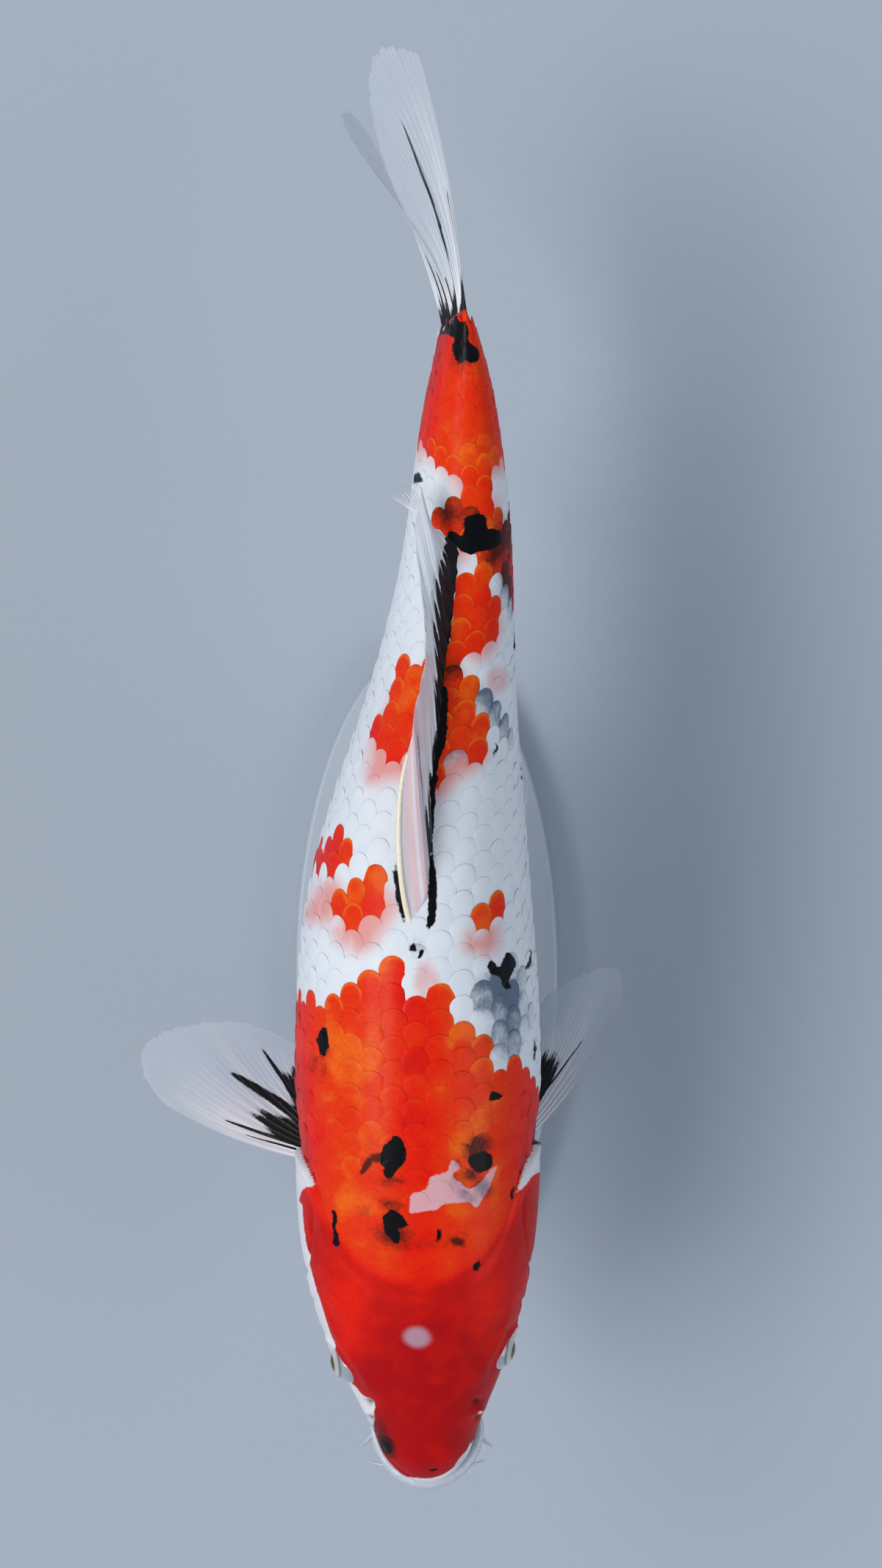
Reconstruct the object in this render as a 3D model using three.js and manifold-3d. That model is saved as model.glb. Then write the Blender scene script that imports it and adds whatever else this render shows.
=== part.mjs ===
// A life-size koi carp, 590 mm from snout to tail tip, swimming with a gentle bend,
// held over a flat base by two short rods.
// Millimetres, +Z up. The head points along -Y and the tail along +Y.
// The origin is the centre of the underside of the stand's base.
// The fish's own left side is at +X.
import * as THREE from 'three';
import { mergeVertices } from 'three/addons/utils/BufferGeometryUtils.js';
import Module from 'manifold-3d';

const wasm = await Module();
wasm.setup();

// ---------------------------------------------------------------- driving dimensions

const BODY_LENGTH = 484; // snout to the root of the tail fin
const SNOUT_Y = -205; // the snout, ahead of the middle of the stand
const SHOULDER_X = -3; // the shoulders, beside the middle of the stand
const AXIS_HEIGHT = 150; // the body's long axis above the floor
const GAP = 0.3; // clearance between neighbouring pieces

// Each station gives, at a distance behind the snout, the half width, the heights of
// the back and the belly and the height of the widest line, all about the long axis.
const STATIONS = [
  { name: 'snout', at: 0, half: 14.5, back: 5, belly: -27, level: -12 },
  { name: 'lips', at: 20, half: 20.5, back: 14, belly: -35, level: -9 },
  { name: 'eyes', at: 54, half: 35.4, back: 31, belly: -47, level: -3 },
  { name: 'nape', at: 95, half: 47.3, back: 47, belly: -58, level: 0 },
  { name: 'gills', at: 140, half: 50.8, back: 60, belly: -67, level: 0 },
  { name: 'shoulder', at: 190, half: 50.8, back: 69, belly: -72, level: 0 },
  { name: 'dorsal front', at: 230, half: 48.4, back: 71.5, belly: -71, level: 0 },
  { name: 'vent', at: 280, half: 41, back: 67, belly: -64, level: 0 },
  { name: 'loin', at: 330, half: 30.9, back: 56, belly: -53, level: 0 },
  { name: 'dorsal end', at: 380, half: 23.4, back: 42, belly: -40, level: 0 },
  { name: 'stalk', at: 420, half: 18.8, back: 34, belly: -32, level: 0 },
  { name: 'stalk waist', at: 455, half: 13.3, back: 31, belly: -30, level: 0 },
  { name: 'tail root', at: BODY_LENGTH, half: 5.5, back: 33, belly: -32, level: 0 },
];
const NOSE_ROUNDING = 16; // length over which the blunt snout closes
const ROUNDNESS = 2.2; // superellipse power of the cross-sections
const SIDES = 28; // facets round the body
const CORE_SIDES = 20; // facets round the hidden bed under the gill covers
const FIRST_RING = 0.25; // the foremost ring, just behind the tip of the snout
const SNOUT_CROWDING = 1.6; // how strongly the rings crowd towards the snout

// The bend seen from above: the snout and the tail both swing a little to the left.
const SNOUT_SWING = 3.5;
const SNOUT_SWING_END = 90;
const TAIL_SWING = 17;
const TAIL_SWING_START = 225;
const TAIL_SWING_END = 415;
const FLICK_START = 455; // from here the tail turns back to the right
const FLICK = 0.0022;
// The rear body rolls slightly, back to the left and belly to the right.
const ROLL = 0.13;
const ROLL_START = 260;
const ROLL_END = 420;

// Gill covers stand proud of the shoulder, which is let in behind them.
const SHOULDER_RECESS = 2.4;
const RECESS_START = 138;
const RECESS_END = 176;
const GILL_COVER_THICKNESS = 3;
const GILL_COVER_START = 80;

// Where the flesh of the head, the trunk and the tail stalk begins or ends.
const HEAD_END = 150;
const TRUNK_START = 70;
const STALK_START = 408;
const RINGS = { head: 17, core: 7, trunk: 26, stalk: 7 };

// The head is turned a little to the left, so the left eye lies further back than the
// right one, by twice the turn.
const EYE = { at: 57.5, turn: 2.5, height: 8, radius: 10, proud: 2.7 };
const NOSTRIL = { at: 34, aside: 22.4, size: [2.6, 3.6, 2.2] };

const STAND = {
  width: 120,
  length: 300,
  thickness: 12,
  bevel: 2,
  rodRadius: 4,
  rods: { front: 140, rear: 262 },
};

// ---------------------------------------------------------------- curves of the body

const smoothstep = (from, to, x) => THREE.MathUtils.smoothstep(x, from, to);

// A natural cubic spline through the given knots.
function smoothCurve(knots, values) {
  const last = knots.length - 1;
  const bend = new Array(last + 1).fill(0);
  const carry = new Array(last + 1).fill(0);
  for (let i = 1; i < last; i += 1) {
    const before = knots[i] - knots[i - 1];
    const after = knots[i + 1] - knots[i];
    const slopeChange = (values[i + 1] - values[i]) / after
      - (values[i] - values[i - 1]) / before;
    const pivot = 2 * (before + after) - before * carry[i - 1];
    carry[i] = after / pivot;
    bend[i] = (6 * slopeChange - before * bend[i - 1]) / pivot;
  }
  for (let i = last - 1; i > 0; i -= 1) {
    bend[i] -= carry[i] * bend[i + 1];
  }
  return (x) => {
    let i = 0;
    while (i < last - 1 && x > knots[i + 1]) {
      i += 1;
    }
    const span = knots[i + 1] - knots[i];
    const b = (x - knots[i]) / span;
    const a = 1 - b;
    return a * values[i] + b * values[i + 1]
      + ((a ** 3 - a) * bend[i] + (b ** 3 - b) * bend[i + 1]) * span ** 2 / 6;
  };
}

const stationCurve = (key) => smoothCurve(
  STATIONS.map((station) => station.at),
  STATIONS.map((station) => station[key]),
);
const halfWidth = stationCurve('half');
const backHeight = stationCurve('back');
const bellyHeight = stationCurve('belly');
const widestLevel = stationCurve('level');

const swingAt = (at) => SHOULDER_X
  + SNOUT_SWING * (1 - smoothstep(0, SNOUT_SWING_END, at))
  + TAIL_SWING * smoothstep(TAIL_SWING_START, TAIL_SWING_END, at)
  - FLICK * Math.max(0, at - FLICK_START) ** 2;
const rollAt = (at) => ROLL * smoothstep(ROLL_START, ROLL_END, at);

// From distance behind the snout, offset to the left and height over the long axis
// to a point of the model.
const place = (at, aside, height) => new THREE.Vector3(
  swingAt(at) + aside + rollAt(at) * height,
  SNOUT_Y + at,
  AXIS_HEIGHT + height,
);

const power = (x) => Math.sign(x) * Math.abs(x) ** (2 / ROUNDNESS);

// A point of the skin. turn is the angle round the body, from the left side up.
// grow is an offset outwards.
function skinPoint(at, turn, grow, recess) {
  const tip = Math.min(at, NOSE_ROUNDING) / NOSE_ROUNDING;
  const nose = Math.sqrt(Math.max(0, 1 - (1 - tip) ** 2));
  const level = widestLevel(at);
  const side = Math.cos(turn);
  const up = Math.sin(turn);
  const letIn = recess * SHOULDER_RECESS * side ** 2
    * (1 - smoothstep(RECESS_START, RECESS_END, at));
  const half = halfWidth(at) * nose + grow - letIn;
  const reach = (up > 0 ? backHeight(at) - level : level - bellyHeight(at)) * nose + grow;
  return place(at, half * power(side), level + reach * power(up));
}

// ---------------------------------------------------------------- mesh helpers

// A closed surface through rings of points, each end closed by a fan.
function loft(rings, ends) {
  const sides = rings[0].length;
  const points = [...rings.flat(), ends[0], ends[1]];
  const faces = [];
  for (let r = 0; r + 1 < rings.length; r += 1) {
    for (let i = 0; i < sides; i += 1) {
      const j = (i + 1) % sides;
      const a = r * sides + i;
      const b = r * sides + j;
      const c = a + sides;
      const d = b + sides;
      faces.push([a, b, d], [a, d, c]);
    }
  }
  const start = rings.length * sides;
  for (let i = 0; i < sides; i += 1) {
    const j = (i + 1) % sides;
    faces.push([start, j, i]);
    faces.push([start + 1, start - sides + i, start - sides + j]);
  }
  return outward(points, faces);
}

// A geometry from points and triangles, turned so that its faces point out.
function outward(points, faces) {
  let volume = 0;
  const cross = new THREE.Vector3();
  for (const [a, b, c] of faces) {
    volume += points[a].dot(cross.crossVectors(points[b], points[c]));
  }
  const turned = volume < 0 ? faces.map(([a, b, c]) => [a, c, b]) : faces;
  const geometry = new THREE.BufferGeometry().setFromPoints(points);
  geometry.setIndex(turned.flat());
  return geometry;
}

function toSolid(geometry) {
  const bare = geometry.clone();
  bare.deleteAttribute('normal');
  bare.deleteAttribute('uv');
  const merged = mergeVertices(bare, 1e-4);
  return new wasm.Manifold(new wasm.Mesh({
    numProp: 3,
    vertProperties: merged.attributes.position.array,
    triVerts: Uint32Array.from(merged.index.array),
  }));
}

// The largest body of a solid, as a geometry.
function toGeometry(solid) {
  const bodies = solid.decompose().sort((a, b) => b.volume() - a.volume());
  const mesh = bodies[0].getMesh();
  const geometry = new THREE.BufferGeometry();
  geometry.setAttribute('position', new THREE.BufferAttribute(mesh.vertProperties, 3));
  geometry.setIndex(new THREE.BufferAttribute(mesh.triVerts, 1));
  return geometry;
}

// A thin closed sheet over surface(across, along), both from 0 to 1. The sheet is
// thick at its root, along 0, and thins out to its edge, along 1.
function sheet(surface, rows, steps, rootThickness, edgeThickness) {
  const step = 0.01;
  const top = [];
  const under = [];
  for (let i = 0; i <= rows; i += 1) {
    for (let j = 0; j <= steps; j += 1) {
      const across = i / rows;
      const along = j / steps;
      const point = surface(across, along);
      const back = Math.max(across - step, 0);
      const ahead = Math.min(across + step, 1);
      const inner = Math.max(along, step);
      const acrossWay = surface(ahead, inner).sub(surface(back, inner));
      const alongWay = surface(across, Math.min(along + step, 1))
        .sub(surface(across, Math.max(along - step, 0)));
      const normal = acrossWay.cross(alongWay).normalize();
      const half = THREE.MathUtils.lerp(rootThickness, edgeThickness, along) / 2;
      top.push(point.clone().addScaledVector(normal, half));
      under.push(point.clone().addScaledVector(normal, -half));
    }
  }
  const width = steps + 1;
  const base = top.length;
  const faces = [];
  const quad = (a, b, c, d) => faces.push([a, b, c], [a, c, d]);
  for (let i = 0; i < rows; i += 1) {
    for (let j = 0; j < steps; j += 1) {
      const a = i * width + j;
      quad(a, a + width, a + width + 1, a + 1);
      quad(base + a, base + a + 1, base + a + width + 1, base + a + width);
    }
    quad(i * width, base + i * width, base + (i + 1) * width, (i + 1) * width);
    const edge = i * width + steps;
    quad(edge, edge + width, base + edge + width, base + edge);
  }
  const final = rows * width;
  for (let j = 0; j < steps; j += 1) {
    quad(j, j + 1, base + j + 1, base + j);
    quad(final + j, base + final + j, base + final + j + 1, final + j + 1);
  }
  return outward([...top, ...under], faces);
}

// A tapering rod along a curve, with a section that may be taller than wide.
function taperedRod(curve, radiusAt, steps, sides, tallness = 1) {
  const rings = [];
  const up = new THREE.Vector3(0, 0, 1);
  for (let k = 0; k <= steps; k += 1) {
    const t = k / steps;
    const centre = curve.getPoint(t);
    const tangent = curve.getTangent(t);
    const aside = new THREE.Vector3().crossVectors(tangent, up).normalize();
    const rise = new THREE.Vector3().crossVectors(aside, tangent);
    const radius = radiusAt(t);
    const ring = [];
    for (let i = 0; i < sides; i += 1) {
      const turn = (i / sides) * Math.PI * 2;
      ring.push(centre.clone()
        .addScaledVector(aside, radius * Math.cos(turn))
        .addScaledVector(rise, radius * tallness * Math.sin(turn)));
    }
    rings.push(ring);
  }
  const length = curve.getLength();
  const nose = radiusAt(0) * 0.6 / length;
  const tail = radiusAt(1) * 0.6 / length;
  const first = curve.getPoint(0).addScaledVector(curve.getTangent(0), -nose * length);
  const final = curve.getPoint(1).addScaledVector(curve.getTangent(1), tail * length);
  return loft(rings, [first, final]);
}

// A block through the whole width of the fish, over an outline seen from its side.
function sideBlock(outline) {
  const shape = new THREE.Shape(outline.map(([at, height]) => new THREE.Vector2(at, height)));
  const halfDepth = 80;
  const block = new THREE.ExtrudeGeometry(shape, {
    depth: 2 * halfDepth, bevelEnabled: false, steps: 1,
  });
  const turn = new THREE.Matrix4().makeBasis(
    new THREE.Vector3(0, 1, 0),
    new THREE.Vector3(0, 0, 1),
    new THREE.Vector3(1, 0, 0),
  );
  block.applyMatrix4(turn);
  block.translate(-halfDepth, SNOUT_Y, AXIS_HEIGHT);
  return toSolid(block);
}

// Points along a smooth curve in side view, moved aside by an offset.
function offsetLine(points, offset, count) {
  const curve = new THREE.SplineCurve(points.map(([x, y]) => new THREE.Vector2(x, y)));
  const line = [];
  for (let i = 0; i <= count; i += 1) {
    const point = curve.getPoint(i / count);
    const tangent = curve.getTangent(i / count);
    line.push([point.x - tangent.y * offset, point.y + tangent.x * offset]);
  }
  return line;
}

// ---------------------------------------------------------------- flesh of the body

function flesh(from, to, rings, { grow = 0, recess = 0, sides = SIDES } = {}) {
  const sections = [];
  for (let r = 0; r <= rings; r += 1) {
    const share = (r / rings) ** (from === 0 ? SNOUT_CROWDING : 1);
    const at = Math.max(from + (to - from) * share, FIRST_RING);
    const section = [];
    for (let i = 0; i < sides; i += 1) {
      section.push(skinPoint(at, (i / sides) * Math.PI * 2, grow, recess));
    }
    sections.push(section);
  }
  const start = from === 0 ? -grow : from;
  const ends = [place(start, 0, widestLevel(from)), place(to, 0, widestLevel(to))];
  return toSolid(loft(sections, ends));
}

// Limits of the side outlines, clear of the body in front, above, behind and below.
const CLEAR = { front: -20, above: 80, behind: 165, below: -82 };

// The rear edge of the head from the nape down round the gill cover to the throat.
const HEAD_EDGE = [
  [78, CLEAR.above], [84, 46], [94, 41], [110, 38], [127, 35], [138, 27], [143, 10],
  [143.5, -8], [140, -28], [131, -47], [116, -61], [98, CLEAR.below],
];
// The front edge of the gill cover, from its top down to the throat.
const GILL_FRONT = [[132, 33], [112, 27], [97, 14], [92, -6], [95, -30], [106, -50], [121, -62]];

const headBlock = (grow) => sideBlock([
  [CLEAR.front, CLEAR.above],
  ...offsetLine(HEAD_EDGE, grow, 18),
  [CLEAR.front, CLEAR.below],
]);
const gillBlock = (grow) => sideBlock([
  ...offsetLine(GILL_FRONT, -grow, 9),
  [CLEAR.behind, GILL_FRONT.at(-1)[1] - grow],
  [CLEAR.behind, GILL_FRONT[0][1] + grow],
]);

// Below the mouth: the chin, parted from the head by the line of the lips.
const MOUTH = { front: -13.2, corner: [25, -15.5], hinge: [38, -26], throat: [46, -60] };
const jawBlock = (grow) => sideBlock([
  [CLEAR.front, MOUTH.front + grow],
  [MOUTH.corner[0] + grow, MOUTH.corner[1] + grow],
  [MOUTH.hinge[0] + grow, MOUTH.hinge[1] + grow],
  [MOUTH.throat[0] + grow, MOUTH.throat[1]],
  [CLEAR.front, MOUTH.throat[1]],
]);

// A lip: a soft roll that runs from one corner of the mouth round to the other.
// The mouth is pushed out a little further on the left.
const UPPER_LIP = {
  front: 1, corner: 25, left: 23, right: 21.3, height: -9.6, drop: -3.6, radius: 3.4,
};
const LOWER_LIP = {
  front: 4, corner: 24, left: 19, right: 18.6, height: -16.6, drop: -0.4, radius: 2.7,
};
function lipRoll(lip, grow) {
  const points = [];
  const bends = 8;
  for (let k = 0; k <= bends; k += 1) {
    const turn = (k / bends - 0.5) * Math.PI;
    points.push(place(
      lip.corner - (lip.corner - lip.front) * Math.cos(turn),
      (turn > 0 ? lip.left : lip.right) * Math.sin(turn),
      lip.height + lip.drop * Math.sin(turn) ** 2,
    ));
  }
  const radiusAt = (t) => lip.radius * (0.45 + 0.55 * Math.sin(Math.PI * t) ** 0.8) + grow;
  return toSolid(taperedRod(new THREE.CatmullRomCurve3(points), radiusAt, 14, 6, 1.1));
}

function ball(centre, radius) {
  const geometry = new THREE.SphereGeometry(radius, 14, 8);
  geometry.rotateZ(Math.PI / 2);
  geometry.translate(centre.x, centre.y, centre.z);
  return toSolid(geometry);
}

function eyeCentre(side) {
  const at = EYE.at + side * EYE.turn;
  const level = widestLevel(at);
  const up = Math.asin(((EYE.height - level) / (backHeight(at) - level)) ** (ROUNDNESS / 2));
  const surface = halfWidth(at) * power(Math.cos(up));
  return place(at, side * (surface + EYE.proud - EYE.radius), EYE.height);
}

// The small flap of skin over each nostril.
function nostrilFlap(side) {
  const level = widestLevel(NOSTRIL.at);
  const spread = (NOSTRIL.aside / halfWidth(NOSTRIL.at)) ** ROUNDNESS;
  const height = level + (backHeight(NOSTRIL.at) - level) * (1 - spread) ** (1 / ROUNDNESS);
  const flap = new THREE.SphereGeometry(1, 8, 6);
  flap.scale(...NOSTRIL.size);
  flap.rotateY(side * Math.PI / 4);
  const centre = place(NOSTRIL.at, side * NOSTRIL.aside, height);
  flap.translate(centre.x, centre.y, centre.z);
  return toSolid(flap);
}

// ---------------------------------------------------------------- fins

// A paired fin: rays that fan out from a short root and curve backwards.
// lead and fan are the angles of the front ray and of the whole fan, from straight out.
function pairedFin(fin, side) {
  const reach = smoothCurve(fin.reachAt, fin.reach);
  return (across, along) => {
    const angle = THREE.MathUtils.degToRad(fin.lead + fin.fan * across);
    const length = reach(across) * along;
    const sag = fin.curl * reach(across) * (along - along ** 2);
    const out = length * Math.cos(angle) + sag * Math.sin(angle);
    const aft = length * Math.sin(angle) - sag * Math.cos(angle);
    const at = THREE.MathUtils.lerp(fin.root[0].at, fin.root[1].at, across);
    const aside = THREE.MathUtils.lerp(fin.root[0].aside, fin.root[1].aside, across);
    const height = THREE.MathUtils.lerp(fin.root[0].height, fin.root[1].height, across);
    const drop = fin.drop * along + fin.rearDrop * across * along;
    const start = place(at, side * aside, height);
    return start.add(new THREE.Vector3(side * out, aft, -drop));
  };
}

const PECTORAL_ROOT = [
  { at: 129, aside: 35, height: -45 },
  { at: 143, aside: 36, height: -51 },
];
const PECTORAL_REACH = {
  reachAt: [0, 0.1, 0.25, 0.4, 0.6, 0.8, 1],
  reach: [80, 94, 95, 83, 65, 45, 31],
};
// The right fin is spread wide, the left one is drawn back and partly closed.
const PECTORAL_RIGHT = {
  ...PECTORAL_REACH, root: PECTORAL_ROOT, lead: 19, fan: 58, curl: 0.22, drop: 6, rearDrop: 4,
};
const PECTORAL_LEFT = {
  ...PECTORAL_REACH, root: PECTORAL_ROOT, lead: 52, fan: 36, curl: 0.22, drop: 2, rearDrop: 14,
};
const PELVIC = {
  reachAt: [0, 0.15, 0.4, 0.7, 1],
  reach: [54, 61, 56, 43, 30],
  root: [{ at: 243, aside: 13, height: -66 }, { at: 252, aside: 10, height: -67 }],
  fan: 34, curl: 0.12, drop: 16, rearDrop: 4,
};
const PELVIC_LEFT = { ...PELVIC, lead: 50 };
const PELVIC_RIGHT = { ...PELVIC, lead: 65 };

// The dorsal fin is folded back along the ridge and laid over to the right.
const DORSAL = {
  start: 233,
  end: 386,
  rootDepth: 3,
  spineRadius: 1.6,
  spineTipRadius: 0.8,
  // Along the root, from the front spine to the last ray: how far behind the snout
  // each ray ends, how far it lies to the side and how high over the ridge.
  along: [0, 0.08, 0.3, 0.5, 0.7, 0.86, 1],
  tipAt: [306, 316, 341, 369, 398, 413, 410],
  tipAside: [-10, -12.5, -12.5, -18, -23, -22, -35],
  tipRise: [17, 19, 13, 11, 9, 6, -5],
  // how far the root lies beside the mid line, where the fin pulls the ridge over
  rootAside: [0, 0, 0, 0, -2.6, -3, -1],
  arch: 5,
};
function dorsalSurface() {
  const tipAt = smoothCurve(DORSAL.along, DORSAL.tipAt);
  const tipAside = smoothCurve(DORSAL.along, DORSAL.tipAside);
  const tipRise = smoothCurve(DORSAL.along, DORSAL.tipRise);
  const rootAside = smoothCurve(DORSAL.along, DORSAL.rootAside);
  return (across, along) => {
    const at = THREE.MathUtils.lerp(DORSAL.start, DORSAL.end, across);
    const root = place(at, rootAside(across), backHeight(at) - DORSAL.rootDepth);
    const end = tipAt(across);
    const tip = place(end, tipAside(across), backHeight(end) + tipRise(across));
    const point = root.lerp(tip, along);
    point.z += DORSAL.arch * 4 * (along - along ** 2);
    return point;
  };
}
function dorsalSpine() {
  const surface = dorsalSurface();
  const points = [0, 0.25, 0.5, 0.75, 1].map((along) => surface(0, along));
  const radiusAt = (t) => THREE.MathUtils.lerp(DORSAL.spineRadius, DORSAL.spineTipRadius, t);
  return toSolid(taperedRod(new THREE.CatmullRomCurve3(points), radiusAt, 8, 5));
}

const ANAL = {
  start: 370,
  end: 400,
  rootDepth: 3,
  along: [0, 0.2, 0.5, 0.8, 1],
  reach: [58, 60, 48, 34, 27],
  lead: 46, // angle of the front ray below straight back
  fan: -22,
};
function analSurface() {
  const reach = smoothCurve(ANAL.along, ANAL.reach);
  return (across, along) => {
    const at = THREE.MathUtils.lerp(ANAL.start, ANAL.end, across);
    const angle = THREE.MathUtils.degToRad(ANAL.lead + ANAL.fan * across);
    const length = reach(across) * along;
    return place(
      at + length * Math.cos(angle),
      0,
      bellyHeight(at) + ANAL.rootDepth - length * Math.sin(angle),
    );
  };
}

// The forked tail fin: each lobe as reach behind the tail root and height of its tips,
// from the fork out to the leading ray. The fin sweeps to the right and twists.
const TAIL = {
  root: -8,
  rootHeight: 27,
  out: [0, 0.3, 0.6, 0.85, 1],
  upper: { reach: [44, 66, 90, 105, 99], height: 60, twist: 0.0012 },
  lower: { reach: [44, 64, 87, 100, 94], height: -68, twist: 0.0004 },
  lean: 0.15,
  sweep: 0.0015,
  cup: 0.0055, // how far the soft rays beside the fork lag behind the leading rays
};
function tailSurface(lobe) {
  const reach = smoothCurve(TAIL.out, lobe.reach);
  const way = Math.sign(lobe.height);
  return (across, along) => {
    const behind = THREE.MathUtils.lerp(TAIL.root, reach(across), along);
    const rootHeight = GAP + TAIL.rootHeight * across;
    const endHeight = GAP + Math.abs(lobe.height) * across ** 1.3;
    const height = way * THREE.MathUtils.lerp(rootHeight, endHeight, along ** 0.85);
    const base = place(BODY_LENGTH, 0, 0);
    const past = Math.max(behind, 0);
    const bend = (TAIL.sweep + TAIL.cup * (1 - across)) * past ** 2 + TAIL.lean * past;
    return new THREE.Vector3(
      base.x - bend + (ROLL + lobe.twist * past) * height,
      base.y + behind,
      base.z + height,
    );
  };
}

// ---------------------------------------------------------------- barbels

const BARBELS = {
  front: { root: [9, 12.5, -12.5], bow: [7.5, 18, -11], tip: [8.5, 24, -14], radius: 0.9 },
  rear: { root: [22, 19.5, -16], bow: [16, 24.5, -19], tip: [12.5, 27.5, -25], radius: 1.2 },
};
function barbel(shape, side) {
  const points = [shape.root, shape.bow, shape.tip]
    .map(([at, aside, height]) => place(at, side * aside, height));
  const radiusAt = (t) => shape.radius * (1 - 0.55 * t);
  return toSolid(taperedRod(new THREE.CatmullRomCurve3(points), radiusAt, 5, 6));
}

// ---------------------------------------------------------------- stand

function standBase() {
  const shape = new THREE.Shape();
  const inset = STAND.bevel;
  shape.absellipse(0, 0, STAND.width / 2 - inset, STAND.length / 2 - inset, 0, Math.PI * 2);
  const slab = new THREE.ExtrudeGeometry(shape, {
    depth: STAND.thickness - 2 * inset,
    bevelEnabled: true,
    bevelThickness: inset,
    bevelSize: inset,
    bevelSegments: 1,
    curveSegments: 16,
  });
  slab.translate(0, 0, inset);
  return toSolid(slab);
}

function standRod(at) {
  const length = AXIS_HEIGHT - STAND.thickness - GAP;
  const rod = new THREE.CylinderGeometry(STAND.rodRadius, STAND.rodRadius, length, 16);
  rod.rotateX(Math.PI / 2);
  rod.translate(swingAt(at), SNOUT_Y + at, STAND.thickness + GAP + length / 2);
  return toSolid(rod);
}

// ---------------------------------------------------------------- parting the fish

const headFlesh = flesh(0, HEAD_END, RINGS.head);
const trunkFlesh = flesh(TRUNK_START, STALK_START, RINGS.trunk, { recess: 1 });
const stalkFlesh = flesh(STALK_START + GAP, BODY_LENGTH, RINGS.stalk);

const upperLip = lipRoll(UPPER_LIP, 0);
const lowerLip = lipRoll(LOWER_LIP, 0);
const upperLipRoom = lipRoll(UPPER_LIP, GAP);
const lowerLipRoom = lipRoll(LOWER_LIP, GAP);

const lowerJaw = headFlesh.intersect(jawBlock(0)).add(lowerLip).subtract(upperLipRoom);
const core = (grow) => flesh(GILL_COVER_START, HEAD_END, RINGS.core, {
  grow, sides: CORE_SIDES,
});
const headCore = core(-GILL_COVER_THICKNESS);
const coverBed = core(GAP - GILL_COVER_THICKNESS);
const head = headFlesh.intersect(headBlock(0))
  .add(nostrilFlap(1))
  .add(nostrilFlap(-1))
  .subtract(gillBlock(GAP).subtract(headCore))
  .subtract(jawBlock(GAP))
  .subtract(upperLipRoom)
  .subtract(lowerLipRoom)
  .subtract(ball(eyeCentre(1), EYE.radius + GAP))
  .subtract(ball(eyeCentre(-1), EYE.radius + GAP));
const gillCovers = headFlesh.intersect(headBlock(0)).intersect(gillBlock(0)).subtract(coverBed);
const gillCover = (side) => gillCovers.intersect(sideHalf(side));
const trunk = trunkFlesh.subtract(headBlock(GAP));

// The half of space on one side of the fish.
function sideHalf(side) {
  const half = new THREE.BoxGeometry(100, 400, 400);
  half.translate(SHOULDER_X + side * 50.5, SNOUT_Y + 100, AXIS_HEIGHT);
  return toSolid(half);
}

// The room that the flesh takes up, with clearance, for what is fixed to it.
const headRoom = flesh(0, HEAD_END, RINGS.head, { grow: GAP }).intersect(headBlock(GAP));
const trunkRoom = flesh(TRUNK_START, STALK_START + GAP, RINGS.trunk, { grow: GAP, recess: 1 });
const stalkRoom = flesh(STALK_START, BODY_LENGTH + GAP, RINGS.stalk, { grow: GAP });
const bodyRoom = headRoom.add(trunkRoom).add(stalkRoom);

const PALE = '#d9dde2';
const RED = '#a81c12';
const finSolid = (surface, rows, steps, root, edge) => toSolid(
  sheet(surface, rows, steps, root, edge),
).subtract(bodyRoom);

const fish = new THREE.Group();

function addPiece(name, solid, color, roughness = 0.4, metalness = 0) {
  const material = new THREE.MeshStandardMaterial({ color, roughness, metalness });
  const mesh = new THREE.Mesh(toGeometry(solid), material);
  mesh.name = name;
  fish.add(mesh);
}

addPiece('head', head, RED);
addPiece('upper_lip', upperLip, PALE);
addPiece('lower_jaw', lowerJaw, PALE);
addPiece('trunk', trunk, PALE);
addPiece('tail_stalk', stalkFlesh, RED);
addPiece('dorsal_fin', toSolid(sheet(dorsalSurface(), 18, 5, 1.8, 0.8))
  .add(dorsalSpine()).subtract(bodyRoom), PALE);
addPiece('anal_fin', finSolid(analSurface(), 6, 5, 1.8, 0.8), PALE);
addPiece('tail_fin_upper', finSolid(tailSurface(TAIL.upper), 8, 8, 2.4, 0.8), PALE);
addPiece('tail_fin_lower', finSolid(tailSurface(TAIL.lower), 8, 8, 2.4, 0.8), PALE);

const SIDES_OF_FISH = [['left', 1], ['right', -1]];
for (const [word, side] of SIDES_OF_FISH) {
  const pectoral = side > 0 ? PECTORAL_LEFT : PECTORAL_RIGHT;
  const pelvic = side > 0 ? PELVIC_LEFT : PELVIC_RIGHT;
  addPiece(`gill_cover_${word}`, gillCover(side), RED);
  addPiece(`eye_${word}`, ball(eyeCentre(side), EYE.radius), '#15171c', 0.1);
  addPiece(`barbel_front_${word}`, barbel(BARBELS.front, side)
    .subtract(bodyRoom).subtract(upperLipRoom).subtract(lowerLipRoom), PALE);
  addPiece(`barbel_rear_${word}`, barbel(BARBELS.rear, side)
    .subtract(bodyRoom).subtract(upperLipRoom).subtract(lowerLipRoom), PALE);
  addPiece(`pectoral_fin_${word}`, finSolid(pairedFin(pectoral, side), 12, 6, 2.2, 0.8), PALE);
  addPiece(`pelvic_fin_${word}`, finSolid(pairedFin(pelvic, side), 6, 5, 1.8, 0.8), PALE);
}

addPiece('stand_base', standBase(), '#e9ebec', 0.6);
for (const [word, at] of Object.entries(STAND.rods)) {
  addPiece(`stand_rod_${word}`, standRod(at).subtract(bodyRoom), '#b9bdc1', 0.3, 1);
}

export default fish;
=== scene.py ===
# %% [markdown]
# # A koi carp, life size, on a display stand
# This lesson dresses a plain solid model of a koi, 59 cm long, that seems to swim over
# its stand. The solid model is the frame: it fixes every size and place. Each cell adds
# one layer of the real fish over it, from the wet skin out to the thin fins.
# All shapes are worked out in millimetres in the frame's own axes: the head points
# along -Y, +Z is up, and the fish's own left is at +X. They turn into metres only when
# a mesh is made.

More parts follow.
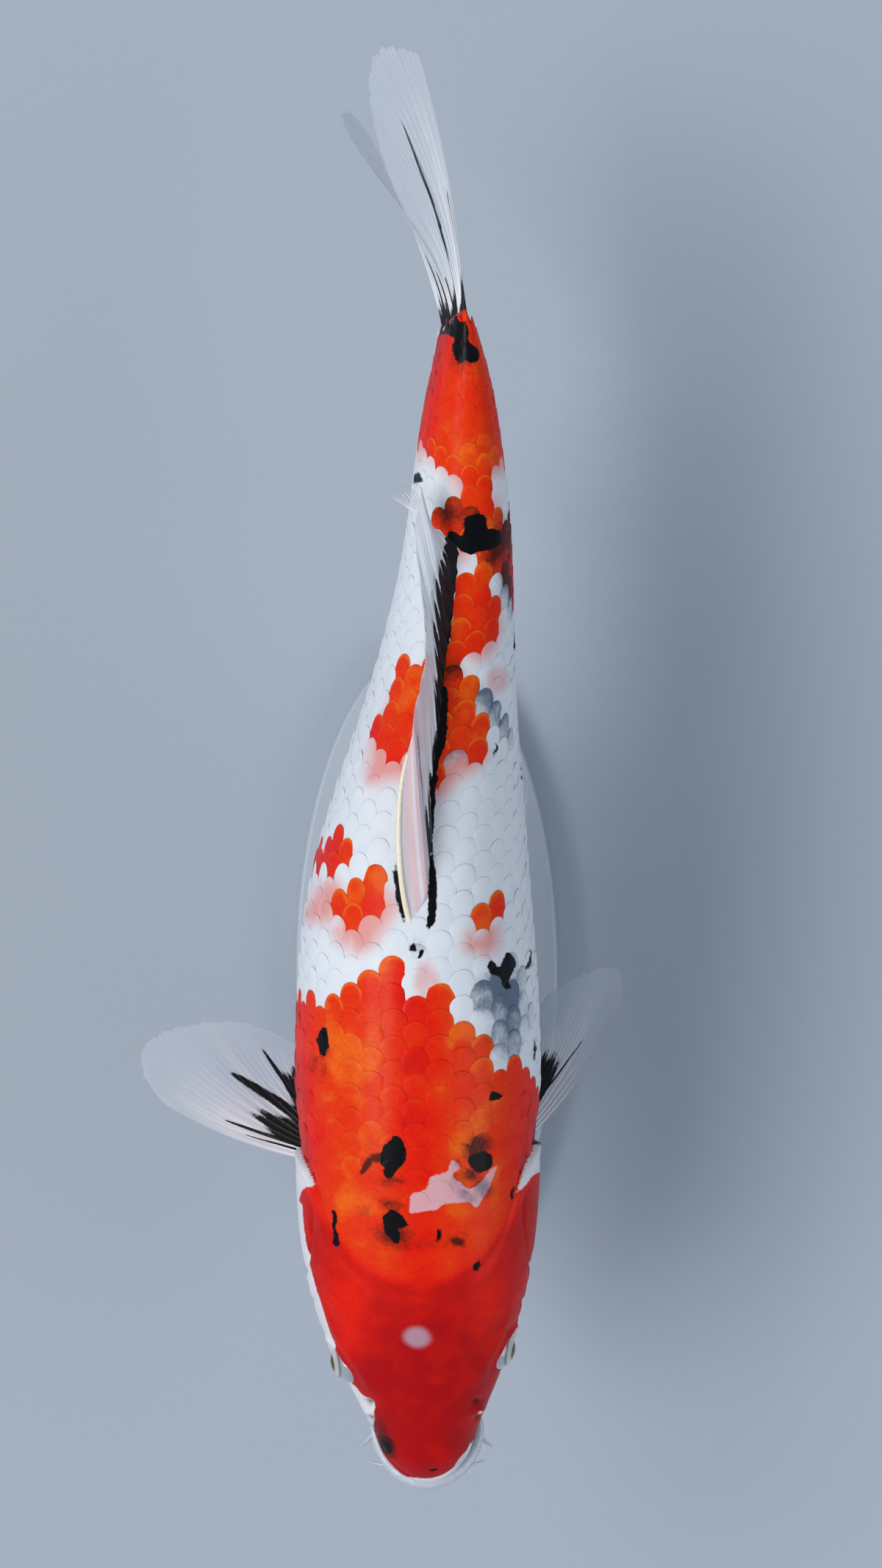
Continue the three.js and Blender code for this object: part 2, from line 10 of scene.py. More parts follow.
# %% Load the frame
import math
import bpy
import numpy as np
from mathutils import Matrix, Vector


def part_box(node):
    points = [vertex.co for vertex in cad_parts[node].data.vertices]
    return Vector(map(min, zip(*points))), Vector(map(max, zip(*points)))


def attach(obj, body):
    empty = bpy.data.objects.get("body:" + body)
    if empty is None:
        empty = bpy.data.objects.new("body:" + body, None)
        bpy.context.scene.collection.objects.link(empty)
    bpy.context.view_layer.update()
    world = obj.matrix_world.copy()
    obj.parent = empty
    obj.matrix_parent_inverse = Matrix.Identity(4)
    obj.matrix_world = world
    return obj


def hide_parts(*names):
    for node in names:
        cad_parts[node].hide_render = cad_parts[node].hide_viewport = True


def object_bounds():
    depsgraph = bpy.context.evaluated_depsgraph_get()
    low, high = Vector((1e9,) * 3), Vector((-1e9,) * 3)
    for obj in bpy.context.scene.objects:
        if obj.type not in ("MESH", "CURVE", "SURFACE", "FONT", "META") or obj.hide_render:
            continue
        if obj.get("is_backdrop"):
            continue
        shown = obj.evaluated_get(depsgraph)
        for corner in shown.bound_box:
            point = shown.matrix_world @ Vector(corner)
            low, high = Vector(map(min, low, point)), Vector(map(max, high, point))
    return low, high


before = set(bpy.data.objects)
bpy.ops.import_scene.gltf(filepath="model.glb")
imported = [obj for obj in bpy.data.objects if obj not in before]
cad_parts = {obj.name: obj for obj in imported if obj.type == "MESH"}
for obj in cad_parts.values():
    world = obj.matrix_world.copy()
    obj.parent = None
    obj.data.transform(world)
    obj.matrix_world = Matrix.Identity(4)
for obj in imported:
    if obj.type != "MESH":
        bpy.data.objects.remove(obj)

CAD_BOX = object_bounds()
print("nodes in the frame:", len(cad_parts))

# %% Take the unit from the frame
BODY_LENGTH = 484.0
STAND_WIDTH = 120.0
base_low, base_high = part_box("stand_base")
STALK_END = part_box("tail_stalk")[1].y
MM = (base_high.x - base_low.x) / STAND_WIDTH
SNOUT_Y = STALK_END / MM - BODY_LENGTH
SHOULDER_X = -3.0
AXIS_HEIGHT = 150.0
print(f"one unit is {MM * 1000:.4f} mm, the snout is at y {SNOUT_Y:.1f}")

# %% [markdown]
# ## Camera, floor and light
# A judge looks at a koi from straight above, over the rim of a basin. So the camera
# hangs over the back and looks down. It could be turned a little to show more of the
# flank, but the pattern is what a koi is judged by, and it lies on the back.
# The floor is plain and pale, a little darker than the fins, so that they stand out.

# %% Hang the camera over the back
VIEW_CENTRE = (6.6, SNOUT_Y + 292.0)
CAMERA_OVER_AXIS = 1350.0
VIEW_LENGTH = 650.2
SENSOR = 36.0
camera_data = bpy.data.cameras.new("camera")
camera_data.sensor_width = SENSOR
camera_data.lens = SENSOR * CAMERA_OVER_AXIS / VIEW_LENGTH
camera = bpy.data.objects.new("camera", camera_data)
camera.location = [v * MM for v in (*VIEW_CENTRE, AXIS_HEIGHT + CAMERA_OVER_AXIS)]
bpy.context.scene.collection.objects.link(camera)
bpy.context.scene.camera = camera
bpy.context.scene.view_settings.view_transform = "Standard"
print(f"lens {camera_data.lens:.1f} mm")


# %% A short way to write shader nodes
def add_node(tree, kind, inputs=None, **settings):
    """Adds a shader node. inputs maps a socket's name or number to a value or an output."""
    made = tree.nodes.new(kind)
    for name, value in settings.items():
        setattr(made, name, value)
    for socket, value in (inputs or {}).items():
        if isinstance(value, bpy.types.NodeSocket):
            tree.links.new(value, made.inputs[socket])
        else:
            made.inputs[socket].default_value = value
    return made


def new_material(name, **surface):
    """A material with one Principled shader. Returns the material, its tree and the shader."""
    material = bpy.data.materials.new(name)
    material.use_nodes = True
    tree = material.node_tree
    shader = tree.nodes["Principled BSDF"]
    for socket, value in surface.items():
        shader.inputs[socket.replace("_", " ")].default_value = value
    return material, tree, shader


def noise(tree, size_mm, detail=2.0, rough=0.5):
    """Smooth noise whose lumps are about size_mm across."""
    place_on = add_node(tree, "ShaderNodeTexCoord")
    return add_node(
        tree,
        "ShaderNodeTexNoise",
        {"Vector": place_on.outputs["Object"], "Scale": 1 / (size_mm * MM), "Detail": detail,
         "Roughness": rough},
    ).outputs["Fac"]


def attribute(tree, name):
    """A value that was stored on the mesh."""
    return add_node(tree, "ShaderNodeAttribute", attribute_name=name).outputs["Fac"]


def maths(tree, operation, a, b=0.5, c=0.0, clamp=False):
    """One sum on numbers."""
    made = add_node(tree, "ShaderNodeMath", {0: a, 1: b, 2: c}, operation=operation)
    made.use_clamp = clamp
    return made.outputs[0]


def times(tree, a, b):
    return maths(tree, "MULTIPLY", a, b)


def between(tree, value, low, high):
    """0 below low, 1 above high and smooth in between."""
    return add_node(
        tree,
        "ShaderNodeMapRange",
        {"Value": value, "From Min": low, "From Max": high},
        interpolation_type="SMOOTHSTEP",
    ).outputs["Result"]


def mix_colour(tree, share, a, b):
    """Colour a where share is 0 and colour b where it is 1."""
    made = add_node(tree, "ShaderNodeMix", data_type="RGBA")
    for socket, value in ((0, share), (6, a), (7, b)):
        if isinstance(value, bpy.types.NodeSocket):
            tree.links.new(value, made.inputs[socket])
        elif socket == 0:
            made.inputs[0].default_value = value
        else:
            made.inputs[socket].default_value = (*value, 1.0)
    return made.outputs[2]


def ramp(tree, value, stops):
    """A colour that runs through the stops: pairs of a place from 0 to 1 and a colour."""
    made = add_node(tree, "ShaderNodeValToRGB", {"Fac": value})
    band = made.color_ramp
    while len(band.elements) < len(stops):
        band.elements.new(0.5)
    for element, (place_at, colour) in zip(band.elements, stops):
        element.position = place_at
        element.color = (*colour, 1.0)
    return made.outputs["Color"]


def bump(tree, shader, height, depth_mm):
    """Makes the surface look as if height, from 0 to 1, were depth_mm deep."""
    made = add_node(
        tree, "ShaderNodeBump", {"Height": height, "Distance": depth_mm * MM, "Strength": 1.0}
    )
    tree.links.new(made.outputs["Normal"], shader.inputs["Normal"])


def stirred(tree, value, grain, amount):
    """The value, moved up and down by a noise that runs from 0 to 1."""
    return maths(tree, "MULTIPLY_ADD", maths(tree, "SUBTRACT", grain, 0.5), amount, value)


def dye(tree, shader, share, dark, light):
    """Lets the base colour wander between two colours."""
    tree.links.new(mix_colour(tree, share, dark, light), shader.inputs["Base Color"])


print("the lumps of every noise are measured in mm")

# %% Lay the floor
HALF_FLOOR = 8.0
floor_mesh = bpy.data.meshes.new("floor")
floor_mesh.from_pydata(
    [(x * HALF_FLOOR, y * HALF_FLOOR, 0.0) for x, y in ((-1, -1), (1, -1), (1, 1), (-1, 1))],
    [], [(0, 1, 2, 3)],
)
floor = bpy.data.objects.new("floor", floor_mesh)
bpy.context.scene.collection.objects.link(floor)
paper, paper_tree, paper_shader = new_material("pale_paper", Roughness=0.9)
dye(paper_tree, paper_shader, noise(paper_tree, 3.0, 4.0), (0.335, 0.385, 0.455),
    (0.355, 0.405, 0.475))
floor_mesh.materials.append(paper)
floor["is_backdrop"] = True
print(f"floor {2 * HALF_FLOOR:.0f} m wide")


# %% Set the lights
def aim(lamp_object, place_at, target):
    """Puts a lamp somewhere and points it at the target. Places are in metres."""
    lamp_object.location = place_at
    direction = np.subtract(place_at, target)
    azimuth = math.atan2(direction[1], direction[0])
    tilt = math.atan2(math.hypot(direction[0], direction[1]), direction[2])
    lamp_object.rotation_euler = (0, tilt, azimuth)
    bpy.context.scene.collection.objects.link(lamp_object)


AIM = (0.0, 0.05, 0.15)
wide_lamp = bpy.data.lights.new("wide_light", "SUN")
wide_lamp.energy = 1.75
wide_lamp.angle = math.radians(32)
wide_lamp.color = (1.0, 0.985, 0.96)
aim(bpy.data.objects.new("wide_light", wide_lamp), (-1.1, -0.35, 1.5), AIM)
SOFT_BOXES = {
    "left_box": ((-1.2, 0.5, 1.3), 0.8, 8.0, (1.0, 0.99, 0.97)),
    "right_box": ((1.3, -0.5, 1.0), 1.0, 7.5, (0.92, 0.96, 1.0)),
}
for name, (place_at, size, watts, tint) in SOFT_BOXES.items():
    box_lamp = bpy.data.lights.new(name, "AREA")
    box_lamp.size = size
    box_lamp.energy = watts
    box_lamp.color = tint
    aim(bpy.data.objects.new(name, box_lamp), place_at, AIM)
world = bpy.data.worlds.new("studio")
world.use_nodes = True
background = world.node_tree.nodes["Background"].inputs
background["Color"].default_value = (0.86, 0.93, 1.0, 1)
background["Strength"].default_value = 0.42
bpy.context.scene.world = world
print(f"lights: one wide sun and {len(SOFT_BOXES)} soft boxes")

# %% [markdown]
# ## The body as a formula
# A carp's body is a spindle: each cross-section is close to an ellipse, deeper than it
# is wide. One could sculpt it by hand, but here a few stations down the body give the
# half width and the heights of back and belly, and smooth curves join them. The same
# formula then carries the skin, the scales and the markings, so they always agree.


# %% Smooth curves
def spline(knots, values):
    """A natural cubic spline through the given knots, for whole arrays at once."""
    knots = np.asarray(knots, float)
    values = np.asarray(values, float)
    gaps = np.diff(knots)
    last = len(knots) - 1
    system = np.eye(last + 1)
    target = np.zeros(last + 1)
    for i in range(1, last):
        system[i, i - 1:i + 2] = gaps[i - 1], 2 * (gaps[i - 1] + gaps[i]), gaps[i]
        slopes = (values[i + 1] - values[i]) / gaps[i] - (values[i] - values[i - 1]) / gaps[i - 1]
        target[i] = 6 * slopes
    bend = np.linalg.solve(system, target)

    def curve(x):
        x = np.asarray(x, float)
        i = np.clip(np.searchsorted(knots, x) - 1, 0, last - 1)
        b = (x - knots[i]) / gaps[i]
        a = 1 - b
        cubic = (a**3 - a) * bend[i] + (b**3 - b) * bend[i + 1]
        return a * values[i] + b * values[i + 1] + cubic * gaps[i] ** 2 / 6

    return curve


def smooth(x, start, end):
    """0 before start, 1 after end and a soft step in between. start may be after end."""
    share = np.clip((x - start) / (end - start), 0, 1)
    return share * share * (3 - 2 * share)


def lerp(a, b, share):
    """From a at share 0 to b at share 1."""
    return a + (b - a) * share


def hump(x, width):
    """1 at x = 0, falling away smoothly over about width."""
    return np.exp(-((x / width) ** 2))


print(f"a quarter of the way along a soft step: {smooth(0.25, 0, 1):.2f}")

# %% The stations of the body
# distance behind the snout: half width, back, belly, widest line
STATIONS = {
    0: (14.5, 5, -27, -12),
    20: (20.5, 14, -35, -9),
    54: (35.4, 31, -47, -3),
    95: (47.3, 47, -58, 0),
    140: (50.8, 60, -67, 0),
    190: (50.8, 69, -72, 0),
    230: (48.4, 71.5, -71, 0),
    280: (41, 67, -64, 0),
    330: (30.9, 56, -53, 0),
    380: (23.4, 42, -40, 0),
    420: (18.8, 34, -32, 0),
    455: (13.3, 31, -30, 0),
    484: (5.5, 33, -32, 0),
}
half_width, back_height, belly_height, widest_level = [
    spline(list(STATIONS), column) for column in zip(*STATIONS.values())
]
print(f"widest {2 * half_width(165):.0f} mm, deepest {back_height(215) - belly_height(215):.0f} mm")

# %% The bend of the body
# each swing is in mm, with the distance behind the snout where it stops, or starts and stops
SNOUT_SWING = (3.5, 90.0)
TAIL_SWING = (17.0, 225.0, 415.0)
# the last beat of the tail bends the end of the stalk the other way
FLICK = (0.0022, 455.0)
ROLL = (0.13, 260.0, 420.0)


def swing(at):
    """How far the body's mid line lies to the left, down its gentle bend."""
    return (
        SHOULDER_X
        + SNOUT_SWING[0] * (1 - smooth(at, 0, SNOUT_SWING[1]))
        + TAIL_SWING[0] * smooth(at, *TAIL_SWING[1:])
        - FLICK[0] * np.maximum(0, at - FLICK[1]) ** 2
    )


def roll_at(at):
    """How far the tail leans over to the left, for each mm of height."""
    return ROLL[0] * smooth(at, *ROLL[1:])


def place(at, aside, height):
    """From distance behind the snout, offset to the left and height over the axis."""
    roll = roll_at(at)
    at, aside, height = np.broadcast_arrays(at, aside, height)
    return np.stack([swing(at) + aside + roll * height, SNOUT_Y + at, AXIS_HEIGHT + height], -1)


print(f"the stalk swings {swing(440) - swing(225):.1f} mm to the left")

# %% The surface of the body
# a plain ellipse has a roundness of 2, and a fuller section has more
ROUNDNESS = 2.2
NOSE_ROUNDING = 16.0
# the shoulders lie lower than the gill covers, from the head's edge to where they blend
SHOULDER_RECESS = 2.4
RECESS = (138.0, 176.0)


def power(x):
    """Makes an ellipse a little fuller."""
    return np.sign(x) * np.abs(x) ** (2 / ROUNDNESS)


def section(at, turn, recess=0.0):
    """Offset and height of the surface. turn runs round the body from its left side up."""
    tip = np.minimum(at, NOSE_ROUNDING) / NOSE_ROUNDING
    nose = np.sqrt(np.maximum(0, 1 - (1 - tip) ** 2))
    level = widest_level(at)
    side = np.cos(turn)
    up = np.sin(turn)
    let_in = recess * SHOULDER_RECESS * side**2 * (1 - smooth(at, *RECESS))
    reach = np.where(up > 0, back_height(at) - level, level - belly_height(at)) * nose
    return (half_width(at) * nose - let_in) * power(side), level + reach * power(up)


def surface_point(at, turn, recess):
    aside, height = section(at, turn, recess)
    return place(at, aside, height)


def unit(vectors):
    return vectors / np.maximum(np.linalg.norm(vectors, axis=-1, keepdims=True), 1e-9)


def surface_normal(at, turn, recess):
    """The direction that points straight out of the body."""
    step = 0.4
    swivel = 0.01
    ahead = surface_point(np.maximum(at - step, 0.01), turn, recess)
    along = surface_point(at + step, turn, recess) - ahead
    around = surface_point(at, turn + swivel, recess) - surface_point(at, turn - swivel, recess)
    return unit(np.cross(along, around))


print(f"the back is {surface_point(215.0, math.pi / 2, 0.0)[2]:.0f} mm over the floor")

# %% [markdown]
# ## A map of the flank
# Scales sit in rows at even distances round the body, so distances have to be measured
# along the curved surface and not through the air. A table does that: for each slice of
# the body it adds up the steps from the ridge of the back down to the belly.
# The markings use a map too: as seen from above on the back, and below the widest line
# carried on down the flank, as if the skin had been rolled out flat.

# %% Measure the body's girth
SLICE_AT = np.arange(0.5, 500.0, 2.0)
SLICE_TURN = np.linspace(math.pi / 2, -math.pi / 2, 361)
slice_aside, slice_height = section(SLICE_AT[:, None], SLICE_TURN[None, :], 1.0)
slice_steps = np.hypot(np.diff(slice_aside, axis=1), np.diff(slice_height, axis=1))
ARC = np.concatenate([np.zeros((len(SLICE_AT), 1)), np.cumsum(slice_steps, axis=1)], axis=1)
HALF_GIRTH = ARC[:, -1]
SHARES = np.linspace(0, 1, 201)
TURN_OF_SHARE = np.array([np.interp(SHARES, row / row[-1], SLICE_TURN) for row in ARC])


def half_girth(at):
    """From the ridge of the back down to the belly, along the skin."""
    return np.interp(at, SLICE_AT, HALF_GIRTH)


print(f"half girth at the shoulder {half_girth(190):.0f} mm")


# %% Go between arc lengths, turns and the marking map
def look_up(table, row, column):
    """Reads a table between its rows and columns."""
    row = np.clip(row, 0, table.shape[0] - 1.001)
    column = np.clip(column, 0, table.shape[1] - 1.001)
    r = row.astype(int)
    c = column.astype(int)
    v = row - r
    u = column - c
    upper = table[r, c] * (1 - u) + table[r, c + 1] * u
    lower = table[r + 1, c] * (1 - u) + table[r + 1, c + 1] * u
    return upper * (1 - v) + lower * v


def slice_row(at):
    """The row of the girth tables at each distance behind the snout."""
    return (np.asarray(at, float) - SLICE_AT[0]) / (SLICE_AT[1] - SLICE_AT[0])


def turn_at(at, arc):
    """The turn at a distance arc from the ridge of the back, positive to the left."""
    girth = half_girth(at)
    past = np.abs(arc) > girth
    folded = np.where(past, 2 * girth - np.abs(arc), np.abs(arc))
    left = (arc > 0) ^ past
    found = look_up(TURN_OF_SHARE, slice_row(at), folded / girth * (len(SHARES) - 1))
    return np.where(left, found, math.pi - found)


def spread_at(at, turn):
    """The marking map: the offset on the back, and arc length added below the widest line."""
    side = np.where(np.cos(turn) >= 0, 1.0, -1.0)
    from_ridge = np.abs(np.mod(turn - math.pi / 2 + math.pi, 2 * math.pi) - math.pi)
    column = from_ridge / math.pi * (len(SLICE_TURN) - 1)
    below = look_up(ARC, slice_row(at), column)
    below = below - look_up(ARC, slice_row(at), np.full_like(column, (len(SLICE_TURN) - 1) / 2))
    aside = np.abs(section(at, turn)[0])
    return side * np.where(below > 0, half_width(at) + below, aside)


middle_of_belly = spread_at(np.array([190.0]), np.array([-math.pi / 2]))[0]
print(f"on the map the belly lies {abs(middle_of_belly):.0f} mm from the ridge")


# %% Smooth lines and distances to them
def smooth_line(points, closed, samples=6):
    """A line that runs smoothly through the points."""
    points = np.asarray(points, float)
    if closed:
        around = np.concatenate([points[-1:], points, points[:2]])
    else:
        around = np.concatenate([points[:1], points, points[-1:]])
    parts = []
    for a, b, c, d in zip(around, around[1:], around[2:], around[3:]):
        t = np.arange(samples)[:, None] / samples
        parts.append(
            0.5 * (2 * b + (c - a) * t + (2 * a - 5 * b + 4 * c - d) * t**2
                   + (3 * b - a - 3 * c + d) * t**3)
        )
    if not closed:
        parts.append(points[-1:])
    return np.concatenate(parts)


def to_segment(start, step, x, y):
    """Distance to a straight piece, and the share of it where each place is nearest."""
    x = x - start[0]
    y = y - start[1]
    length_squared = max(step[0] ** 2 + step[1] ** 2, 1e-9)
    share = np.clip((x * step[0] + y * step[1]) / length_squared, 0, 1)
    return np.hypot(x - share * step[0], y - share * step[1]), share


def line_distance(line, x, y):
    """Distance to an open line, positive on its left, and the share run along it."""
    best = np.full(np.shape(x), 1e9)
    sign = np.ones(np.shape(x))
    run = np.zeros(np.shape(x))
    for i, step in enumerate(np.diff(line, axis=0)):
        gap, share = to_segment(line[i], step, x, y)
        nearer = gap < best
        best = np.where(nearer, gap, best)
        turned_left = step[0] * (y - line[i][1]) - step[1] * (x - line[i][0])
        sign = np.where(nearer, np.sign(turned_left), sign)
        run = np.where(nearer, (i + share) / (len(line) - 1), run)
    return best * sign, run


PATCH_REACH = 16.0


def depth_inside(line, at, spread):
    """How deep inside a closed line each place lies. Outside it is negative."""
    low = line.min(0) - PATCH_REACH
    high = line.max(0) + PATCH_REACH
    depth = np.full(at.shape, -PATCH_REACH)
    near = (at > low[0]) & (at < high[0]) & (spread > low[1]) & (spread < high[1])
    x = at[near]
    y = spread[near]
    best = np.full(x.shape, PATCH_REACH)
    inside = np.zeros(x.shape, bool)
    for start, end in zip(line, np.roll(line, -1, axis=0)):
        step = end - start
        best = np.minimum(best, to_segment(start, step, x, y)[0])
        if step[1] != 0:
            crossing_x = step[0] * (y - start[1]) / step[1] + start[0]
            inside ^= ((start[1] > y) != (end[1] > y)) & (x < crossing_x)
    depth[near] = np.where(inside, best, -best)
    return depth


print(f"patch outlines are felt up to {PATCH_REACH:.0f} mm away")

# %% [markdown]
# ## Markings
# This koi wears red patches and black spots on white. Red ends in crisp round scallops
# towards the tail, where each scale is wholly red or wholly white. Towards the head the
# edge is pink and blurred, because white scales lie over the red ones. Black is glossy
# and ragged, and some of it still lies deep, as a blue-grey shade.
# A picture could be wrapped round the body, but it would stretch and it would not know
# where the scales are. So each patch is a smooth outline on the marking map, and the
# skin and every scale ask how deep inside it they lie.

# %% The red patches
RED_PATCHES = {
    "cap": [
        (142, -45), (126, -47), (106, -46), (92, -43), (78, -39), (63, -35), (50, -31), (42, -26),
        (38, -20), (27, -21), (15, -20), (9, -17), (5, -12), (3.5, -4), (3.5, 3), (8, 10.5),
        (13, 14), (18, 19), (26, 25), (42, 31), (54, 38), (66, 50), (88, 62), (112, 66),
        (132, 60), (139, 48), (134, 36), (112, 20), (104, 0), (112, -20),
    ],
    "mantle": [
        (160, -86), (194, -82), (203, -56), (208, -43), (206, -32), (213, -24), (222, -14),
        (220, -7), (206, 1), (211, 8), (208, 14), (202, 19), (192, 25), (183, 32), (179, 40),
        (170, 48), (163, 66), (146, 74), (128, 58), (110, 30), (84, 10), (84, -10), (108, -30),
        (130, -60),
    ],
    "right_flank": [(257, -46), (266, -44), (273, -38), (272, -32), (263, -32), (257, -37)],
    "right_back": [
        (247, -33), (255, -29), (258, -23), (264, -17), (260, -11), (256, -9), (248, -12),
        (240, -17), (237, -23), (241, -30),
    ],
    "left_back": [(239, 20), (246, 21), (245, 25), (249, 29), (247, 33), (239, 31), (237, 25)],
    "middle_right": [
        (350, -9), (343, -14), (340, -20), (332, -24), (322, -26), (311, -27), (302, -25),
        (303, -16), (306, -8), (322, -3), (346, -3),
    ],
    "middle_left": [
        (349, -3), (345, 3), (337, 8), (331, 11), (324, 10), (317, 15), (311, 20), (305, 16),
        (302, 10), (294, 3), (300, -2), (322, -4),
    ],
    "loin": [
        (378, -2), (380, 5), (373, 11), (363, 17), (355, 17), (348, 13), (348, 5), (355, -3),
        (366, -4),
    ],
    "stalk": [
        (489, -4), (476, -14), (456, -23), (438, -22), (428, -15), (420, -8), (412, -4),
        (407, -8), (401, -13), (392, -10), (386, -2), (390, 2), (394, 12), (404, 14), (412, 10),
        (415, 3), (420, 8), (425, 17), (438, 25), (456, 23), (476, 13), (489, 4),
    ],
    "loin_edge": [
        (392, 3), (398, 12), (403, 15), (404, 25), (393, 30), (380, 32), (364, 34), (365, 24),
        (372, 20), (380, 13), (384, 4),
    ],
}
RED_LINES = {name: smooth_line(points, True) for name, points in RED_PATCHES.items()}
# how far the pink shade runs ahead of a patch
PINK_REACH = {
    "right_flank": 20, "right_back": 12, "left_back": 12, "middle_right": 9,
    "middle_left": 8, "loin": 5, "stalk": 4,
}
print(f"{len(RED_PATCHES)} red patches, {len(PINK_REACH)} of them with a pink front")

# %% The windows in the red
WHITE_WINDOW = smooth_line(
    [(121.2, -2.5), (125, -2.8), (129, -2), (131.3, 4), (136, 5.6), (138, 12), (142.5, 14),
     (141, 17), (138.7, 20.4), (135, 23.6), (131, 22.6), (133, 26), (137.4, 29.5), (139.5, 33),
     (134, 31), (128, 28), (122.6, 24), (125, 21), (124.5, 14.5), (124.5, 10.8), (122.5, 8),
     (122, 3.8)],
    True,
)
# a patch of gold scales that stands in the window
WINDOW_ISLAND = smooth_line(
    [(138.3, 15.4), (140.5, 20.5), (138, 26), (133, 25.5), (129.6, 21), (132, 18.2), (134.7, 15)],
    True,
)
# a spot is given by at, aside, half length, half width and lean in degrees
HEAD_SPOT = (69.0, -0.6, 4.6, 6.0, 0.0)
# the white skin at the rear of each gill cover, round the tip of the red
COVER_TIPS = {
    "right": [
        (119, -49.5), (124.5, -47.8), (127.8, -46), (128.8, -43.4), (127.6, -41), (125.4, -38.6),
        (129, -35), (140, -34), (152, -42), (154, -60), (134, -66), (118, -62), (111, -54),
    ],
    "left": [
        (121.5, 38), (126, 40.3), (129.6, 44), (132.6, 47.6), (131.6, 51), (126, 54),
        (124, 60), (134, 66), (154, 60), (154, 46), (146, 36), (132, 33),
    ],
}
COVER_LINES = {word: smooth_line(points, True) for word, points in COVER_TIPS.items()}
print(f"one window, one spot on the head and {len(COVER_LINES)} white tips")

# %% The black spots
BLACK_SPOTS = [
    (112, 9, 2.2, 1.1, 20), (18.6, -16.2, 3.4, 1.6, -20), (99, 24.5, 2.3, 1.5, 20),
    (127, 40, 3.0, 1.0, 0), (189, -37.5, 5.2, 2.5, 5), (168, 31.5, 1.9, 3.1, -15),
    (220, 45.5, 4.0, 0.9, 6), (184, 48, 4.2, 0.8, 0), (228, -1.5, 2.4, 1.4, 20),
    (225.5, 1.5, 2.0, 1.2, 30), (418, -18.5, 2.0, 1.0, 0), (9, 3, 0.8, 1.4, 0),
    (297, 38, 3.0, 0.7, 0), (471, -2.5, 8.5, 3.0, 8), (478, -4.5, 5.0, 2.2, 0),
    (466, 1.5, 3.0, 3.2, 0), (147, 51, 5.0, 1.2, 0), (306, 24, 2.6, 0.8, 0),
    (249, -7.6, 11.0, 1.7, -12), (352, 27, 5.0, 1.0, 0), (362, -8, 22.0, 4.0, -8),
    (150, 62, 6.0, 2.5, 20), (96, 60, 3.0, 1.5, 0), (252, 62, 4.0, 1.8, 0),
]
BLACK_OUTLINES = {
    "right_of_nape": [
        (152.8, -8.4), (149, -4.8), (144, -3.9), (140.3, -6.6), (137.9, -8.5), (134.7, -11.9),
        (137.8, -13.4), (139.4, -12.6), (141.2, -14.4), (145.7, -14.3), (149, -12.6),
    ],
    "heart": [
        (122.7, -10.5), (121.1, -12.5), (118.4, -13.8), (115, -13.3), (112.3, -12.5),
        (110.3, -10.6), (107.7, -8), (109, -6.8), (111.8, -6.8), (114.5, -7.6), (115, -5),
        (116.2, -3.4), (117.9, -4.1), (120.6, -6), (121.9, -8.6),
    ],
    "right_stripe": [
        (120.8, -35.4), (120.7, -33.7), (117, -33.2), (113.5, -33.7), (110.9, -32.7),
        (107.6, -31.8), (105.6, -32.4), (105.8, -33.8), (107.9, -34.6), (111.4, -34.6),
        (114, -35.2), (117.4, -35.1),
    ],
    "left_disc": [
        (145.6, 24.2), (145.7, 27.2), (144, 30.1), (140.9, 31), (138, 29.5), (137.1, 26.6),
        (137.5, 24.2), (139.2, 21.9), (141.7, 20.6), (144, 21.5),
    ],
    "left_shoulder": [
        (220, 28), (222, 30), (219, 33), (223, 35), (225, 37), (223, 39), (219, 40), (214, 37),
        (211, 38), (210, 36), (213, 34), (215, 33), (216, 31), (217, 29),
    ],
    "tail_band": [
        (400, -1.5), (401, 3), (400, 6), (395.5, 7.5), (395.5, 11), (393, 14), (389, 14),
        (387, 11), (386, 7), (384.5, 0), (387, -4), (392, -9), (394, -7), (392, -3), (396, -2.5),
    ],
    # partly black skin at the foot of the back fin, partly painted shadow cast by the folded leaf
    # beside it
    "back_fin_foot_and_shadow": [
        (236, 4), (238, 6.8), (248, 7.4), (257, 6.6), (263, 4.9), (270, 4), (286, 2.5),
        (300, 1.6), (310, 2.8), (318, 1.5),
        (330, -1), (330, -6), (318, -3), (300, -1.5), (286, 0.4), (262, 3.3), (246, 3.9),
    ],
}
BLACK_LINES = {name: smooth_line(points, True) for name, points in BLACK_OUTLINES.items()}
print(f"{len(BLACK_SPOTS)} small black spots and {len(BLACK_OUTLINES)} larger ones")

# %% The grey and pink shades
# a brown scale at the side of the black spot right of the nape
BROWN_SCALE = smooth_line(
    [(136.6, -23.2), (141.4, -21.6), (144.7, -18.5), (145.3, -14.3), (141.7, -14.3),
     (140.8, -17.7), (137.8, -20.1)],
    True,
)
